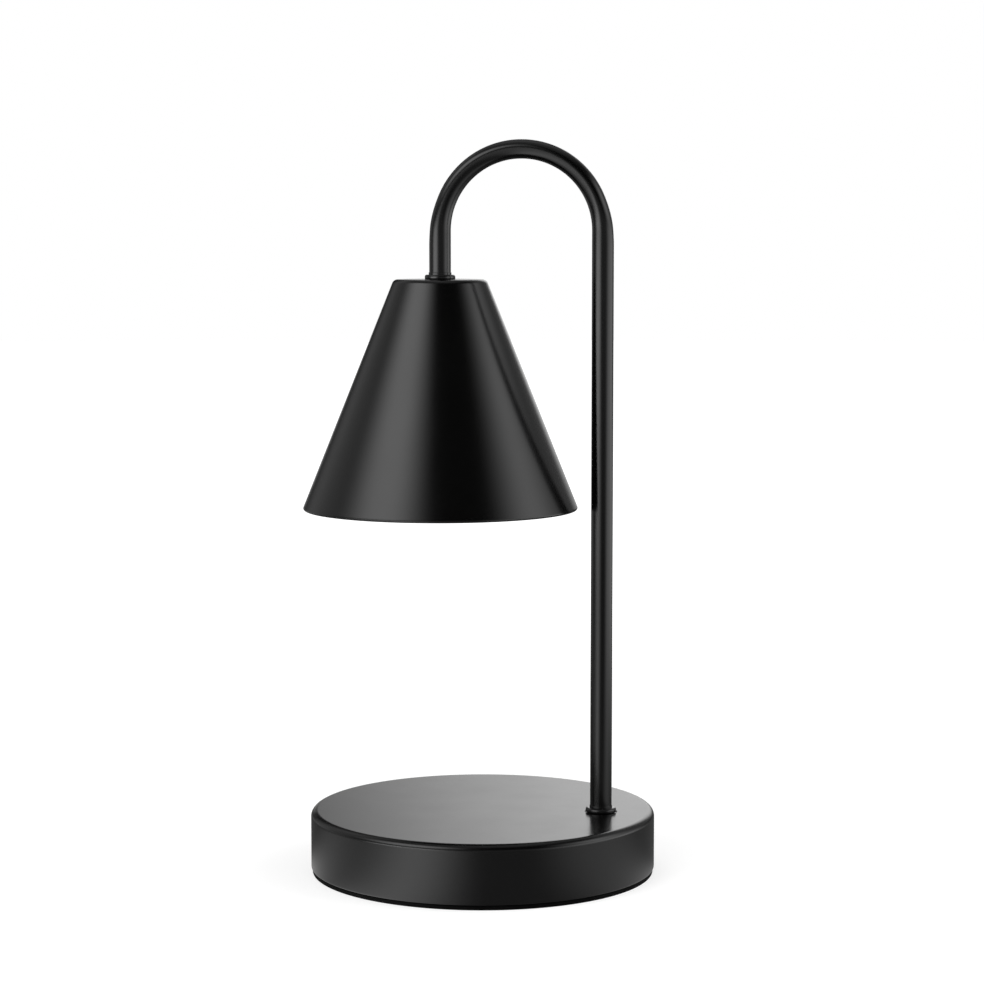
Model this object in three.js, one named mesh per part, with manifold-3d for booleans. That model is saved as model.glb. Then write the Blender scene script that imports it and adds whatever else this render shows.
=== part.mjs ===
// A lamp that warms what stands on its base: a weighted round base, a crook of steel tube and a
// conical shade over a reflector bulb that turns and locks in its holder.
// Millimetres, +Z up. The origin is the middle of the underside, and +X points to the stem.
import * as THREE from "three";
import { mergeVertices, toCreasedNormals } from "three/addons/utils/BufferGeometryUtils.js";
import Module from "manifold-3d";

const wasm = await Module();
wasm.setup();

// Clearances and cuts
const gap = 0.3; // between two pieces that touch, and round a piece in its hole
const threadGap = 0.1; // round a thread in its tapped hole
const overrun = 2; // how far a cut runs past the face that it opens

// Base: a drawn steel pan
const baseRadius = 76;
const baseTop = 27.8;
const baseWall = 1.2;
const baseEdge = 3; // radius of the drawn top edge
const seatDepth = 0.5; // pressed seat for a collar, in the pan and in the shade

// Base: the foam pad, the sheet cover and the cast weight
const padInset = 0.6; // from the pan's side to the pad's edge
const padThickness = 1.8;
const padChamfer = 0.3; // where the die has rounded the lower edge
const coverThickness = 1.6;
const weightInset = 6; // from the pan's side to the casting's edge
const weightEdge = 2; // radius of the casting's edges
const pillarInset = 19; // from the pan's side to the circle of the three cover pillars
const pillarRadius = 5;
const pillarTipRadius = 4;
const pillarCount = 3;
const pillarStartAngle = 60;

// Base: the rubber ring that the cord comes in through, in the rear wall
const inletRise = 1; // from the cover up to the ring
const inletBore = 3.5;
const inletWall = 1.2; // of the ring's neck
const inletLip = 1.1; // by which the flanges stand out from the neck
const inletFlangeThickness = 1.8;
const inletRounding = 0.8;

// Stem: one steel tube, bent to a crook
const stemInset = 23.15; // from the pan's side to the axis of the long leg
const mouthClearance = 6.5; // between the shade's mouth and the long leg
const shortLeg = 21.325; // straight part between the shade and the bend
const tubeRadius = 4.75;
const tubeWall = 1.25;
const bendDraw = 1.1; // how far the outer wall is drawn in round the bend
const bendLead = 6.5; // how far down a leg this starts
const bendSettle = 14; // how far round the bend it is full, along the tube's axis

// Stem: collars, nipples, washers and nuts, the same at the base and at the shade
const collarFlange = 2.25;
const collarShelf = 0.35; // flat ring between the lip and the flange's rounding
const collarRounding = 0.9;
const collarLip = 1; // height of the lip above the flange
const collarLipWall = 0.4;
const threadWall = 0.65; // what the thread leaves of the tube's wall
const nippleWall = 1;
const nippleReach = 10; // how far a nipple screws into the tube
const nippleShow = 0.8; // how far it stands out of its nut
const washerRim = 0.5; // by which a washer stands out past the corners of its nut
const washerThickness = 1;
const nutFlats = 13;
const nutSides = 6;
const nutThickness = 4;
const nutChamfer = 0.6;
const counterboreShare = 0.5; // share of the weight's thickness: recess for washer and nut

// Shade: a spun cone with a rolled hem
const shadeTop = 261.3;
const shadeMouth = 160.4;
const shadeTopRadius = 20.3; // where the cone's side would meet the top's plane
const shadeMouthRadius = 60.4;
const shadeWall = 0.8;
const shadeEdge = 2.6; // radius of the rounded top edge
const shadeHem = 0.85; // radius of the inward rolled hem

// Holder: the bent strip that carries it
const bracketHeight = 15;
const bracketWidth = 12;
const bracketThickness = 1.2;
const bracketBend = 1.4; // radius of the bends, at mid thickness
const bracketSetback = 2.9; // from the middle of a leg to the screw in its foot
const bracketMargin = 3.6; // from that screw to the end of the foot

// Holder: ceramic body, cap and sprung contacts
const holderMargin = 0.4; // by which the ceramic is longer than the bracket at each end
const holderWall = 2; // outside a contact
const holderCorner = 5;
const holderHeight = 13.4;
const holderEdge = 0.7; // radius of the body's edges
const facePlate = 3; // thickness of the face that the pins hang behind
const capThickness = 2.7;
const contactThickness = 0.5;
const contactWidth = 4;
const contactBend = 0.8;
const contactStand = 0.5; // from a pin's head to the contact's upright
const chamberCorner = 1;

// Bulb: a 50 mm reflector bulb with two headed pins
const twistAngle = 30; // from locked to the insertion holes
const pinOffset = 5; // from the axis to a pin
const pinRadius = 1.5;
const pinHeadRadius = 2.5;
const pinHeadHeight = 3.2;
const pinHeadRounding = 0.7;
const pinRoot = 4; // how deep a pin is set in the ceramic
const capRadius = 10.6;
const capHalfFlat = 8; // from the axis to each of the two flats
const capHeight = 8;
const skirtRadius = 11.6;
const skirtHeight = 6;
const skirtChamfer = 1; // on the cap's and the skirt's upper edges
const neckRadius = 8.6;
const reflectorDepth = 29; // from the rim to the neck
const reflectorWall = 1.5;
const rimRadius = 25;
const rimStep = 1; // by which the rim stands out from the bowl
const rimHeight = 2.6;
const rimWall = 1.4;
const lensThickness = 1.5;
const capsuleRadius = 5;
const capsuleLength = 24;

// Terminal block: two brass barrels in a moulded block
const blockXShare = 0.21; // its place, as shares of the radius on which the pillars stand
const blockYShare = 0.53;
const blockRoom = 1.35; // from the cover up to its towers
const blockLength = 18;
const blockPlate = 3;
const blockPlateMargin = 1.9; // of the plate, outside the two ways
const wayWall = 0.8; // round a barrel
const wayClearance = 0.4; // between the humps and the head of the screw that holds the block
const barrelRadius = 2.7;
const barrelPlay = 0.55; // between a lead and a barrel's bore
const barrelRecess = 1.5; // from the end of the block to the end of a barrel
const towerWall = 0.7; // round the head of a clamp screw
const towerHeight = 2; // from the hump's lowest line to the tower's end
const towerSpread = 4.6; // from the middle of a way to each of its screws
const clampScrewRadius = 1.25;
const clampHeadRadius = 1.7;
const clampHeadHeight = 1.4;

// Screws
const screwRadius = 1.5;
const screwHeadRadius = 2.6;
const screwHeadHeight = 1.8;
const sunkHeadRadius = 2.7;
const sunkHeadHeight = 1.2;
const coverScrewLength = 8;
const blockScrewRadius = 1.2;
const blockScrewHeadRadius = 2.1;
const blockScrewHeadHeight = 1.5;
const blockGripShare = 0.6; // of the weight's thickness: how far the block's screw goes in
const holderScrewSink = 2.4; // depth of the recess for its head
const slotWidth = 0.7;
const slotDepthShare = 0.5; // of the head's height

// Leads: single insulated wires
const leadRadius = 0.95;
const leadBend = 7; // room that a lead takes to turn in the base
const leadSweepShare = 0.9; // of that room, from the stem's line to where a lead turns to it
const leadSplayShare = 0.3; // by which the two leads differ there

// Facets
const panSides = 60;
const innerSides = 36; // round pieces that are hidden in the base
const shadeSides = 54;
const tubeSides = 18;
const ringSides = 18;
const bulbSides = 24;
const thinSides = 10;
const thinRadius = 3.2; // round pieces and holes up to this radius have the thin number of sides
const screwSides = 10;
const leadSides = 5;
const bendSteps = 20;
const bendLeadSteps = 2;
const leadBendSteps = 10;
const edgeSteps = 4;
const hemSteps = 5;
const cornerSteps = 2;
const reflectorSteps = 4;
const creaseAngle = 32;

// Radii of the stem and of what holds it
const nippleRadius = tubeRadius - threadWall - threadGap;
const nippleBore = nippleRadius - nippleWall;
const boreRadius = tubeRadius - tubeWall;
const lipRadius = tubeRadius + gap + collarLipWall;
const collarRadius = lipRadius + collarShelf + collarRounding;
const nutCorner = nutFlats / Math.sqrt(3);
const washerRadius = nutCorner + washerRim;
const nutStack = washerThickness + gap + nutThickness;

// Sizes and heights of the base, from the table up
const padRadius = baseRadius - padInset;
const weightRadius = baseRadius - weightInset;
const pillarCircle = baseRadius - pillarInset;
const shellFoot = padThickness + gap;
const coverTop = shellFoot + coverThickness;
const seatZ = baseTop - seatDepth;
const weightTop = seatZ - baseWall - gap;
const wayRadius = barrelRadius + gap + wayWall;
const blockDrop = wayRadius + (blockPlate - gap) / 2; // from its top to the middle of a way
const weightFoot = coverTop + blockRoom + towerHeight + wayRadius + blockDrop + gap;
const weightThickness = weightTop - weightFoot;
const counterboreDepth = counterboreShare * weightThickness;
const stemClampZ = weightFoot + counterboreDepth - gap;
const inletNeck = inletBore + inletWall;
const inletFlange = inletNeck + inletLip;
const inletHeight = coverTop + inletRise + inletFlange;

// Places of the stem
const crookSpan = shadeMouthRadius + mouthClearance + tubeRadius;
const crookRadius = crookSpan / 2;
const stemX = baseRadius - stemInset;
const shadeX = stemX - crookSpan;
const crookX = stemX - crookRadius;
const tubeFoot = seatZ + gap;
const tubeTip = shadeTop - seatDepth + gap;
const crookZ = tubeTip + shortLeg;

// Heights of the head, from the shade's top down
const bracketTop = shadeTop - seatDepth - shadeWall - gap;
const shadeClampZ = bracketTop - bracketThickness - gap;
const capTop = bracketTop - bracketHeight - gap;
const holderTop = capTop - capThickness - gap;
const holderFace = holderTop - holderHeight;
const chamberFloor = holderFace + facePlate;
const pinTip = chamberFloor + gap + pinHeadHeight;
const contactFace = pinOffset + pinHeadRadius + contactStand;
const leafZ = pinTip + gap;
const holderHalfWidth = contactFace + contactThickness + gap + holderWall;
const wireHole = contactFace - gap - leadRadius;
const bulbTop = holderFace - gap;
const skirtFoot = bulbTop - capHeight - skirtHeight;
const rimTop = skirtFoot - reflectorDepth;
const reflectorRadius = rimRadius - rimStep;

// Lengths of the bracket and of the holder, from the axis out
const bracketLeg = washerRadius + gap + bracketThickness / 2;
const holderScrewX = bracketLeg + bracketSetback;
const bracketFoot = holderScrewX + bracketMargin;
const holderHalfLength = bracketFoot + holderMargin;

// Place, sizes and heights of the terminal block, which hangs under the weight
const blockX = blockXShare * pillarCircle;
const blockY = blockYShare * pillarCircle;
const wayPitch = 2 * (wayRadius + wayClearance + blockScrewHeadRadius);
const blockPlateWidth = wayPitch + 2 * (wayRadius + blockPlateMargin);
const barrelBore = leadRadius + barrelPlay;
const barrelLength = blockLength - 2 * barrelRecess;
const towerRadius = clampHeadRadius + gap + towerWall;
const blockScrewGrip = blockGripShare * weightThickness;
const blockTop = weightFoot - gap;
const barrelZ = blockTop - blockDrop;
const towerFoot = barrelZ - wayRadius - towerHeight;

const at = (r, z) => new THREE.Vector2(r, z);
const point = (x, y, z) => new THREE.Vector3(x, y, z);
const radians = THREE.MathUtils.degToRad;

// Points along an arc of a profile, both ends included.
function arc(r, z, radius, fromAngle, toAngle, steps = edgeSteps) {
  return Array.from({ length: steps + 1 }, (_, i) => {
    const angle = radians(THREE.MathUtils.lerp(fromAngle, toAngle, i / steps));
    return at(r + radius * Math.cos(angle), z + radius * Math.sin(angle));
  });
}

// Six times the signed volume inside a closed geometry: negative where it is inside out.
function signedVolume(positions, index) {
  const [a, b, c] = [point(0, 0, 0), point(0, 0, 0), point(0, 0, 0)];
  let sum = 0;
  for (let i = 0; i < index.length; i += 3) {
    a.fromArray(positions, 3 * index[i]);
    b.fromArray(positions, 3 * index[i + 1]);
    c.fromArray(positions, 3 * index[i + 2]);
    sum += a.dot(b.cross(c));
  }
  return sum;
}

// A closed geometry as a solid: shared vertices merged, collapsed triangles left out, faces outward.
function solid(geometry) {
  const bare = geometry.clone();
  bare.deleteAttribute("normal");
  bare.deleteAttribute("uv");
  const merged = mergeVertices(bare);
  const positions = merged.getAttribute("position").array;
  const index = [];
  for (let i = 0; i < merged.index.count; i += 3) {
    const [a, b, c] = merged.index.array.slice(i, i + 3);
    if (a !== b && b !== c && c !== a) index.push(a, b, c);
  }
  if (signedVolume(positions, index) < 0) index.reverse();
  return new wasm.Manifold(
    new wasm.Mesh({
      numProp: 3,
      vertProperties: new Float32Array(positions),
      triVerts: new Uint32Array(index),
    }),
  );
}

// A solid that is turned round an upright axis, from a profile of radius and height.
function turned(profile, sides = ringSides, x = 0, y = 0) {
  return solid(new THREE.LatheGeometry(profile, sides).rotateX(Math.PI / 2).translate(x, y, 0));
}

// The same, with the profile's height measured along +Y from a point.
function turnedAlongY(profile, x, y, z, sides = ringSides) {
  const geometry = new THREE.LatheGeometry(profile, sides);
  return solid(geometry.translate(x, y, z));
}

const sidesOf = (radius) => (radius > thinRadius ? ringSides : thinSides);

// A round bar between two points; the second radius tapers it.
function bar(from, to, radius, toRadius = radius, sides = sidesOf(radius)) {
  const axis = to.clone().sub(from);
  const geometry = new THREE.CylinderGeometry(toRadius, radius, axis.length(), sides);
  const middle = from.clone().add(to).divideScalar(2);
  const up = point(0, 1, 0);
  geometry.applyQuaternion(new THREE.Quaternion().setFromUnitVectors(up, axis.normalize()));
  return solid(geometry.translate(middle.x, middle.y, middle.z));
}

// An upright round bar.
function post(x, y, fromZ, toZ, radius, toRadius = radius, sides = sidesOf(radius)) {
  return bar(point(x, y, fromZ), point(x, y, toZ), radius, toRadius, sides);
}

// A block between two opposite corners.
function block(corner, opposite) {
  const box = new THREE.Box3().setFromPoints([corner, opposite]);
  const size = box.getSize(point(0, 0, 0));
  const middle = box.getCenter(point(0, 0, 0));
  return solid(new THREE.BoxGeometry(size.x, size.y, size.z).translate(middle.x, middle.y, middle.z));
}

// A flat outline of x and y, raised from one height to another and turned round Z. A rounding takes
// the edges off.
function raised(shape, fromZ, toZ, { rounding = 0, x = 0, y = 0, turn = 0 } = {}) {
  const geometry = new THREE.ExtrudeGeometry(shape, {
    depth: toZ - fromZ - 2 * rounding,
    curveSegments: edgeSteps,
    bevelEnabled: rounding > 0,
    bevelThickness: rounding,
    bevelSize: rounding,
    bevelOffset: -rounding,
    bevelSegments: 1,
  });
  return solid(geometry.translate(x, y, fromZ + rounding).rotateZ(turn));
}

// A flat outline of x and z, drawn out along Y to a width about y.
function drawnAlongY(shape, y, width) {
  const geometry = new THREE.ExtrudeGeometry(shape, {
    depth: width,
    curveSegments: edgeSteps,
    bevelEnabled: false,
  });
  return solid(geometry.rotateX(Math.PI / 2).translate(0, y + width / 2, 0));
}

// A skin through rings of equal count. Looped, the last ring joins the first; else the ends close.
function loft(rings, looped) {
  const count = rings[0].length;
  const bands = looped ? rings.length : rings.length - 1;
  const index = [];
  for (let i = 0; i < bands; i++) {
    const here = i * count;
    const next = ((i + 1) % rings.length) * count;
    for (let j = 0; j < count; j++) {
      const k = (j + 1) % count;
      index.push(here + j, here + k, next + k, here + j, next + k, next + j);
    }
  }
  const last = (rings.length - 1) * count;
  for (let j = 1; !looped && j < count - 1; j++) {
    index.push(0, j + 1, j, last, last + j, last + j + 1);
  }
  const geometry = new THREE.BufferGeometry().setFromPoints(rings.flat());
  return solid(geometry.setIndex(index));
}

// Half a turn for the second of a pair that is alike after half a turn.
const turnOf = (sign) => (sign > 0 ? 0 : Math.PI);

// A rounded rectangle round the origin.
function roundedRectangle(halfX, halfY, corner) {
  const shape = new THREE.Shape();
  shape.absarc(halfX - corner, halfY - corner, corner, 0, Math.PI / 2);
  shape.absarc(corner - halfX, halfY - corner, corner, Math.PI / 2, Math.PI);
  shape.absarc(corner - halfX, corner - halfY, corner, Math.PI, 1.5 * Math.PI);
  shape.absarc(halfX - corner, corner - halfY, corner, 1.5 * Math.PI, 2 * Math.PI);
  return shape;
}

// The edge of a sheet strip of one thickness, bent round the inner corners of its middle line.
function bentStrip(corners, bend, thickness) {
  const line = [corners[0]];
  for (let i = 1; i < corners.length - 1; i++) {
    const back = corners[i - 1].clone().sub(corners[i]).normalize();
    const on = corners[i + 1].clone().sub(corners[i]).normalize();
    const half = Math.acos(back.dot(on)) / 2;
    const centre = back.clone().add(on).setLength(bend / Math.sin(half)).add(corners[i]);
    const reach = bend / Math.tan(half);
    const start = back.setLength(reach).add(corners[i]).sub(centre);
    const end = on.setLength(reach).add(corners[i]).sub(centre);
    const turn = Math.atan2(start.cross(end), start.dot(end));
    for (let k = 0; k <= cornerSteps; k++) {
      line.push(start.clone().rotateAround(at(0, 0), (turn * k) / cornerSteps).add(centre));
    }
  }
  line.push(corners[corners.length - 1]);
  const side = (sign) =>
    line.map((p, i) => {
      const along = line[Math.min(i + 1, line.length - 1)].clone().sub(line[Math.max(i - 1, 0)]);
      const across = at(-along.y, along.x).setLength((sign * thickness) / 2);
      return across.add(p);
    });
  return new THREE.Shape([...side(1), ...side(-1).reverse()]);
}

// A screw that is driven upwards: head below, its face at the given height.
function screw(x, y, headZ, head, radius, length) {
  const tip = headZ + length;
  const seat = headZ + head.height;
  const round = head.height / 2;
  const rim = arc(head.radius - round, headZ + round, round, -90, 0, cornerSteps);
  const profile = [
    at(0, headZ),
    ...(head.sunk ? [at(head.radius, headZ)] : [...rim, at(head.radius, seat)]),
    at(radius, seat),
    at(radius, tip - radius / 2),
    at(radius / 2, tip),
    at(0, tip),
  ];
  const slot = block(
    point(x - head.radius - overrun, y - slotWidth / 2, headZ - overrun),
    point(x + head.radius + overrun, y + slotWidth / 2, headZ + head.height * slotDepthShare),
  );
  return turned(profile, screwSides, x, y).subtract(slot);
}

const panHead = { radius: screwHeadRadius, height: screwHeadHeight, sunk: false };
const sunkHead = { radius: sunkHeadRadius, height: sunkHeadHeight, sunk: true };
const clampHead = { radius: clampHeadRadius, height: clampHeadHeight, sunk: false };
const blockHead = { radius: blockScrewHeadRadius, height: blockScrewHeadHeight, sunk: false };

// Finishes: colour, roughness and metalness
const finishes = {
  blackCoat: [0x1b1b1c, 0.42, 0],
  glossBlack: [0x0b0b0c, 0.15, 0],
  foam: [0x101010, 0.95, 0],
  rubber: [0x151515, 0.8, 0],
  castIron: [0x3a3a3c, 0.75, 0.6],
  zinc: [0xb4b6b8, 0.35, 1],
  brass: [0xc8a24a, 0.3, 1],
  ceramic: [0xece8df, 0.5, 0],
  nylon: [0xe8e6de, 0.55, 0],
  glass: [0xdfe6ea, 0.05, 0],
  mirror: [0xd8dade, 0.12, 1],
  brownLead: [0x6b4a35, 0.5, 0],
  blueLead: [0x2f5f9e, 0.5, 0],
};

// A solid as a named mesh with a material of its own.
function piece(name, made, finish) {
  const mesh = made.getMesh();
  const geometry = new THREE.BufferGeometry();
  geometry.setAttribute("position", new THREE.BufferAttribute(mesh.vertProperties, mesh.numProp));
  geometry.setIndex(new THREE.BufferAttribute(mesh.triVerts, 1));
  const [color, roughness, metalness] = finishes[finish];
  const material = new THREE.MeshStandardMaterial({ color, roughness, metalness });
  const drawn = new THREE.Mesh(toCreasedNormals(geometry, radians(creaseAngle)), material);
  drawn.name = name;
  return drawn;
}

// The pan: a drawn cup, upside down, with a pressed seat under the stem's collar.
function baseShell() {
  const lip = baseWall / 2;
  const edgeR = baseRadius - baseEdge;
  const edgeZ = baseTop - baseEdge;
  const pan = turned(
    [
      at(0, baseTop),
      ...arc(edgeR, edgeZ, baseEdge, 90, 0),
      ...arc(baseRadius - lip, shellFoot + lip, lip, 0, -180, cornerSteps),
      ...arc(edgeR, edgeZ, baseEdge - baseWall, 0, 90, cornerSteps),
      at(0, baseTop - baseWall),
    ],
    panSides,
  );
  const seat = collarRadius + gap;
  const boss = post(stemX, 0, seatZ - baseWall, baseTop - baseWall / 2, seat + baseWall);
  return pan
    .add(boss)
    .subtract(post(stemX, 0, seatZ, baseTop + overrun, seat))
    .subtract(post(stemX, 0, weightTop, baseTop + overrun, nippleRadius + gap))
    .subtract(
      bar(
        point(0, baseRadius - baseWall - overrun, inletHeight),
        point(0, baseRadius + overrun, inletHeight),
        inletNeck + gap,
      ),
    );
}

const pillars = Array.from({ length: pillarCount }, (_, i) => {
  const angle = radians(pillarStartAngle + (360 * i) / pillarCount);
  return at(pillarCircle * Math.cos(angle), pillarCircle * Math.sin(angle));
});

// The casting: a disc with rounded edges and pillars down to the cover.
function baseWeight() {
  const edgeR = weightRadius - weightEdge;
  let casting = turned(
    [
      at(0, weightTop),
      ...arc(edgeR, weightTop - weightEdge, weightEdge, 90, 0, cornerSteps),
      ...arc(edgeR, weightFoot + weightEdge, weightEdge, 0, -90, cornerSteps),
      at(0, weightFoot),
    ],
    innerSides,
  );
  for (const { x, y } of pillars) {
    const root = weightFoot + weightThickness / 2;
    const tip = coverTop + gap;
    const holeTop = shellFoot + coverScrewLength + gap;
    casting = casting
      .add(post(x, y, tip, root, pillarTipRadius, pillarRadius))
      .subtract(post(x, y, tip - overrun, holeTop, screwRadius + threadGap));
  }
  const fixingTop = blockTop + blockScrewGrip + gap;
  return casting
    .subtract(post(stemX, 0, weightFoot - overrun, weightTop + overrun, nippleRadius + gap))
    .subtract(
      post(stemX, 0, weightFoot - overrun, weightFoot + counterboreDepth, washerRadius + 2 * gap),
    )
    .subtract(
      post(blockX, blockY, weightFoot - overrun, fixingTop, blockScrewRadius + threadGap),
    );
}

// The cover: a sheet disc with countersunk screw holes.
function baseCover() {
  const radius = baseRadius - baseWall - gap;
  const chamfer = coverThickness / 4;
  let cover = turned(
    [
      at(0, shellFoot),
      at(radius - chamfer, shellFoot),
      at(radius, shellFoot + chamfer),
      at(radius, coverTop),
      at(0, coverTop),
    ],
    innerSides,
  );
  for (const { x, y } of pillars) {
    const sinkTop = shellFoot + sunkHeadHeight;
    cover = cover
      .subtract(post(x, y, shellFoot - overrun, coverTop + overrun, screwRadius + gap))
      .subtract(post(x, y, shellFoot, sinkTop, sunkHeadRadius + gap, screwRadius + gap))
      .subtract(post(x, y, shellFoot - overrun, shellFoot, sunkHeadRadius + gap));
  }
  return cover;
}

function footPad() {
  return turned(
    [
      at(0, 0),
      at(padRadius - padChamfer, 0),
      at(padRadius, padChamfer),
      at(padRadius, padThickness),
      at(0, padThickness),
    ],
    panSides,
  );
}

// The rubber ring: two flanges that grip the rear wall, which falls away at both sides of its middle.
function cordGrommet() {
  const wallInside = baseRadius - baseWall;
  const fall = wallInside - Math.sqrt(wallInside ** 2 - (inletFlange + gap) ** 2);
  const outer = baseRadius + gap;
  const face = outer + inletFlangeThickness;
  const inner = wallInside - fall - gap;
  const back = inner - inletFlangeThickness;
  const crown = face - inletRounding;
  const rounded = inletFlange - inletRounding;
  return turnedAlongY(
    [
      at(inletBore, back),
      at(inletFlange, back),
      at(inletFlange, inner),
      at(inletNeck, inner),
      at(inletNeck, outer),
      at(inletFlange, outer),
      ...arc(rounded, crown, inletRounding, 0, 90, cornerSteps),
      ...arc(inletBore + inletRounding, crown, inletRounding, 90, 180, cornerSteps),
      at(inletBore, back),
    ],
    0,
    0,
    inletHeight,
  );
}

// The crook's frame at a turn of the bend: 0 where the long leg ends, 180 where the short one starts.
function crookAt(angle) {
  const out = point(Math.cos(radians(angle)), 0, Math.sin(radians(angle)));
  return { out, centre: out.clone().multiplyScalar(crookRadius).add(point(crookX, 0, crookZ)) };
}

// A ring of the tube: round, and flatter on its outer half where the bend draws it in.
function tubeRing({ out, centre }, radius, draw) {
  return Array.from({ length: tubeSides }, (_, i) => {
    const angle = (2 * Math.PI * i) / tubeSides;
    const reach = Math.cos(angle) * (Math.cos(angle) > 0 ? radius - draw : radius);
    return out.clone().multiplyScalar(reach).add(centre).add(point(0, radius * Math.sin(angle), 0));
  });
}

// How far the outer wall is drawn in, at a distance along the tube from where a leg meets the bend.
function drawnIn(intoBend) {
  return bendDraw * THREE.MathUtils.smoothstep(intoBend, -bendLead, bendSettle);
}

function stemTube() {
  const long = (z) => ({ out: point(1, 0, 0), centre: point(stemX, 0, z) });
  const short = (z) => ({ out: point(-1, 0, 0), centre: point(shadeX, 0, z) });
  const lead = (leg) =>
    Array.from({ length: bendLeadSteps }, (_, i) => {
      const below = bendLead * (1 - i / bendLeadSteps);
      return { frame: leg(crookZ - below), draw: drawnIn(-below) };
    });
  const arch = Array.from({ length: bendSteps + 1 }, (_, i) => {
    const share = i / bendSteps;
    const intoBend = Math.PI * crookRadius * Math.min(share, 1 - share);
    return { frame: crookAt(180 * share), draw: drawnIn(intoBend) };
  });
  const bend = [...lead(long), ...arch, ...lead(short).reverse()];
  const socket = nippleRadius + threadGap;
  const depth = nippleReach + gap;
  const outside = [
    tubeRing(long(tubeFoot), tubeRadius, 0),
    ...bend.map(({ frame, draw }) => tubeRing(frame, tubeRadius, draw)),
    tubeRing(short(tubeTip), tubeRadius, 0),
  ];
  const inside = [
    tubeRing(long(tubeFoot), socket, 0),
    tubeRing(long(tubeFoot + depth), socket, 0),
    tubeRing(long(tubeFoot + depth), boreRadius, 0),
    ...bend.map(({ frame, draw }) => tubeRing(frame, boreRadius, draw)),
    tubeRing(short(tubeTip + depth), boreRadius, 0),
    tubeRing(short(tubeTip + depth), socket, 0),
    tubeRing(short(tubeTip), socket, 0),
  ];
  return loft([...outside, ...inside.reverse()], true);
}

// A collar: a rounded flange with a low lip that hugs the tube, standing on a height.
function collar(footZ) {
  const bore = tubeRadius + gap;
  const flangeTop = footZ + collarFlange;
  const lipTop = flangeTop + collarLip;
  const lipEdge = collarLipWall / 2;
  return turned([
    at(bore, footZ),
    at(collarRadius, footZ),
    ...arc(collarRadius - collarRounding, flangeTop - collarRounding, collarRounding, 0, 90, cornerSteps),
    at(lipRadius, flangeTop),
    ...arc(lipRadius - lipEdge, lipTop - lipEdge, lipEdge, 0, 90, cornerSteps),
    at(bore, lipTop),
    at(bore, footZ),
  ]);
}

function nipple(fromZ, toZ) {
  return post(0, 0, fromZ, toZ, nippleRadius).subtract(
    post(0, 0, fromZ - overrun, toZ + overrun, nippleBore),
  );
}

// A washer whose upper face is at the given height.
function washer(topZ) {
  return post(0, 0, topZ - washerThickness, topZ, washerRadius).subtract(
    post(0, 0, topZ - washerThickness - overrun, topZ + overrun, nippleRadius + gap),
  );
}

// A hexagon nut with chamfered corners, whose upper face is at the given height.
function nut(topZ) {
  const foot = topZ - nutThickness;
  const chamfered = turned([
    at(0, foot),
    at(nutCorner - nutChamfer, foot),
    at(nutCorner, foot + nutChamfer / 2),
    at(nutCorner, topZ - nutChamfer / 2),
    at(nutCorner - nutChamfer, topZ),
    at(0, topZ),
  ]);
  return post(0, 0, foot - overrun, topZ + overrun, nutCorner, nutCorner, nutSides)
    .intersect(chamfered)
    .subtract(post(0, 0, foot - overrun, topZ + overrun, nippleRadius + threadGap));
}

// The shade: a cone between a pressed top and a hem that is rolled inward. Its side touches both
// the hem's roll and the top edge's rounding.
function shadeCone() {
  const hem = at(shadeMouthRadius - shadeHem, shadeMouth + shadeHem);
  const corner = at(shadeTopRadius, shadeTop);
  const reach = hem.clone().sub(corner);
  const slope = Math.atan2(reach.x, -reach.y) + Math.asin(shadeHem / reach.length());
  const slopeAngle = THREE.MathUtils.radToDeg(slope);
  const out = at(Math.cos(slope), Math.sin(slope));
  const up = at(-Math.sin(slope), Math.cos(slope));
  const edgeR = shadeTopRadius - shadeEdge / Math.tan((Math.PI / 2 + slope) / 2);
  const edgeZ = shadeTop - shadeEdge;
  const sink = (shadeWall - shadeHem) / shadeHem;
  const rise = Math.sqrt(1 - sink ** 2);
  const hemEnd = out.clone().multiplyScalar(-sink).add(up.clone().multiplyScalar(rise));
  const hemAngle = THREE.MathUtils.radToDeg(Math.atan2(hemEnd.y, hemEnd.x));
  const seat = collarRadius + gap;
  const hole = nippleRadius + gap;
  const seatFloor = shadeTop - seatDepth;
  const cone = turned(
    [
      at(hole, seatFloor),
      at(seat, seatFloor),
      at(seat + seatDepth / 2, shadeTop),
      ...arc(edgeR, edgeZ, shadeEdge, 90, slopeAngle),
      ...arc(hem.x, hem.y, shadeHem, slopeAngle, hemAngle - 360, hemSteps),
      ...arc(edgeR, edgeZ, shadeEdge - shadeWall, slopeAngle, 90, cornerSteps),
      at(seat + seatDepth / 2 + shadeWall, shadeTop - shadeWall),
      at(seat + shadeWall, seatFloor - shadeWall),
      at(hole, seatFloor - shadeWall),
      at(hole, seatFloor),
    ],
    shadeSides,
  );
  return cone;
}

// The bent strip that hangs the holder from the shade's nipple.
function holderBracket() {
  const top = bracketTop - bracketThickness / 2;
  const foot = bracketTop - bracketHeight + bracketThickness / 2;
  const strip = bentStrip(
    [
      at(-bracketFoot, foot),
      at(-bracketLeg, foot),
      at(-bracketLeg, top),
      at(bracketLeg, top),
      at(bracketLeg, foot),
      at(bracketFoot, foot),
    ],
    bracketBend,
    bracketThickness,
  );
  const under = foot - bracketThickness;
  return drawnAlongY(strip, 0, bracketWidth)
    .subtract(post(0, 0, top - overrun, top + overrun, nippleRadius + gap))
    .subtract(post(holderScrewX, 0, under, foot + overrun, screwRadius + threadGap))
    .subtract(post(-holderScrewX, 0, under, foot + overrun, screwRadius + threadGap));
}

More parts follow.
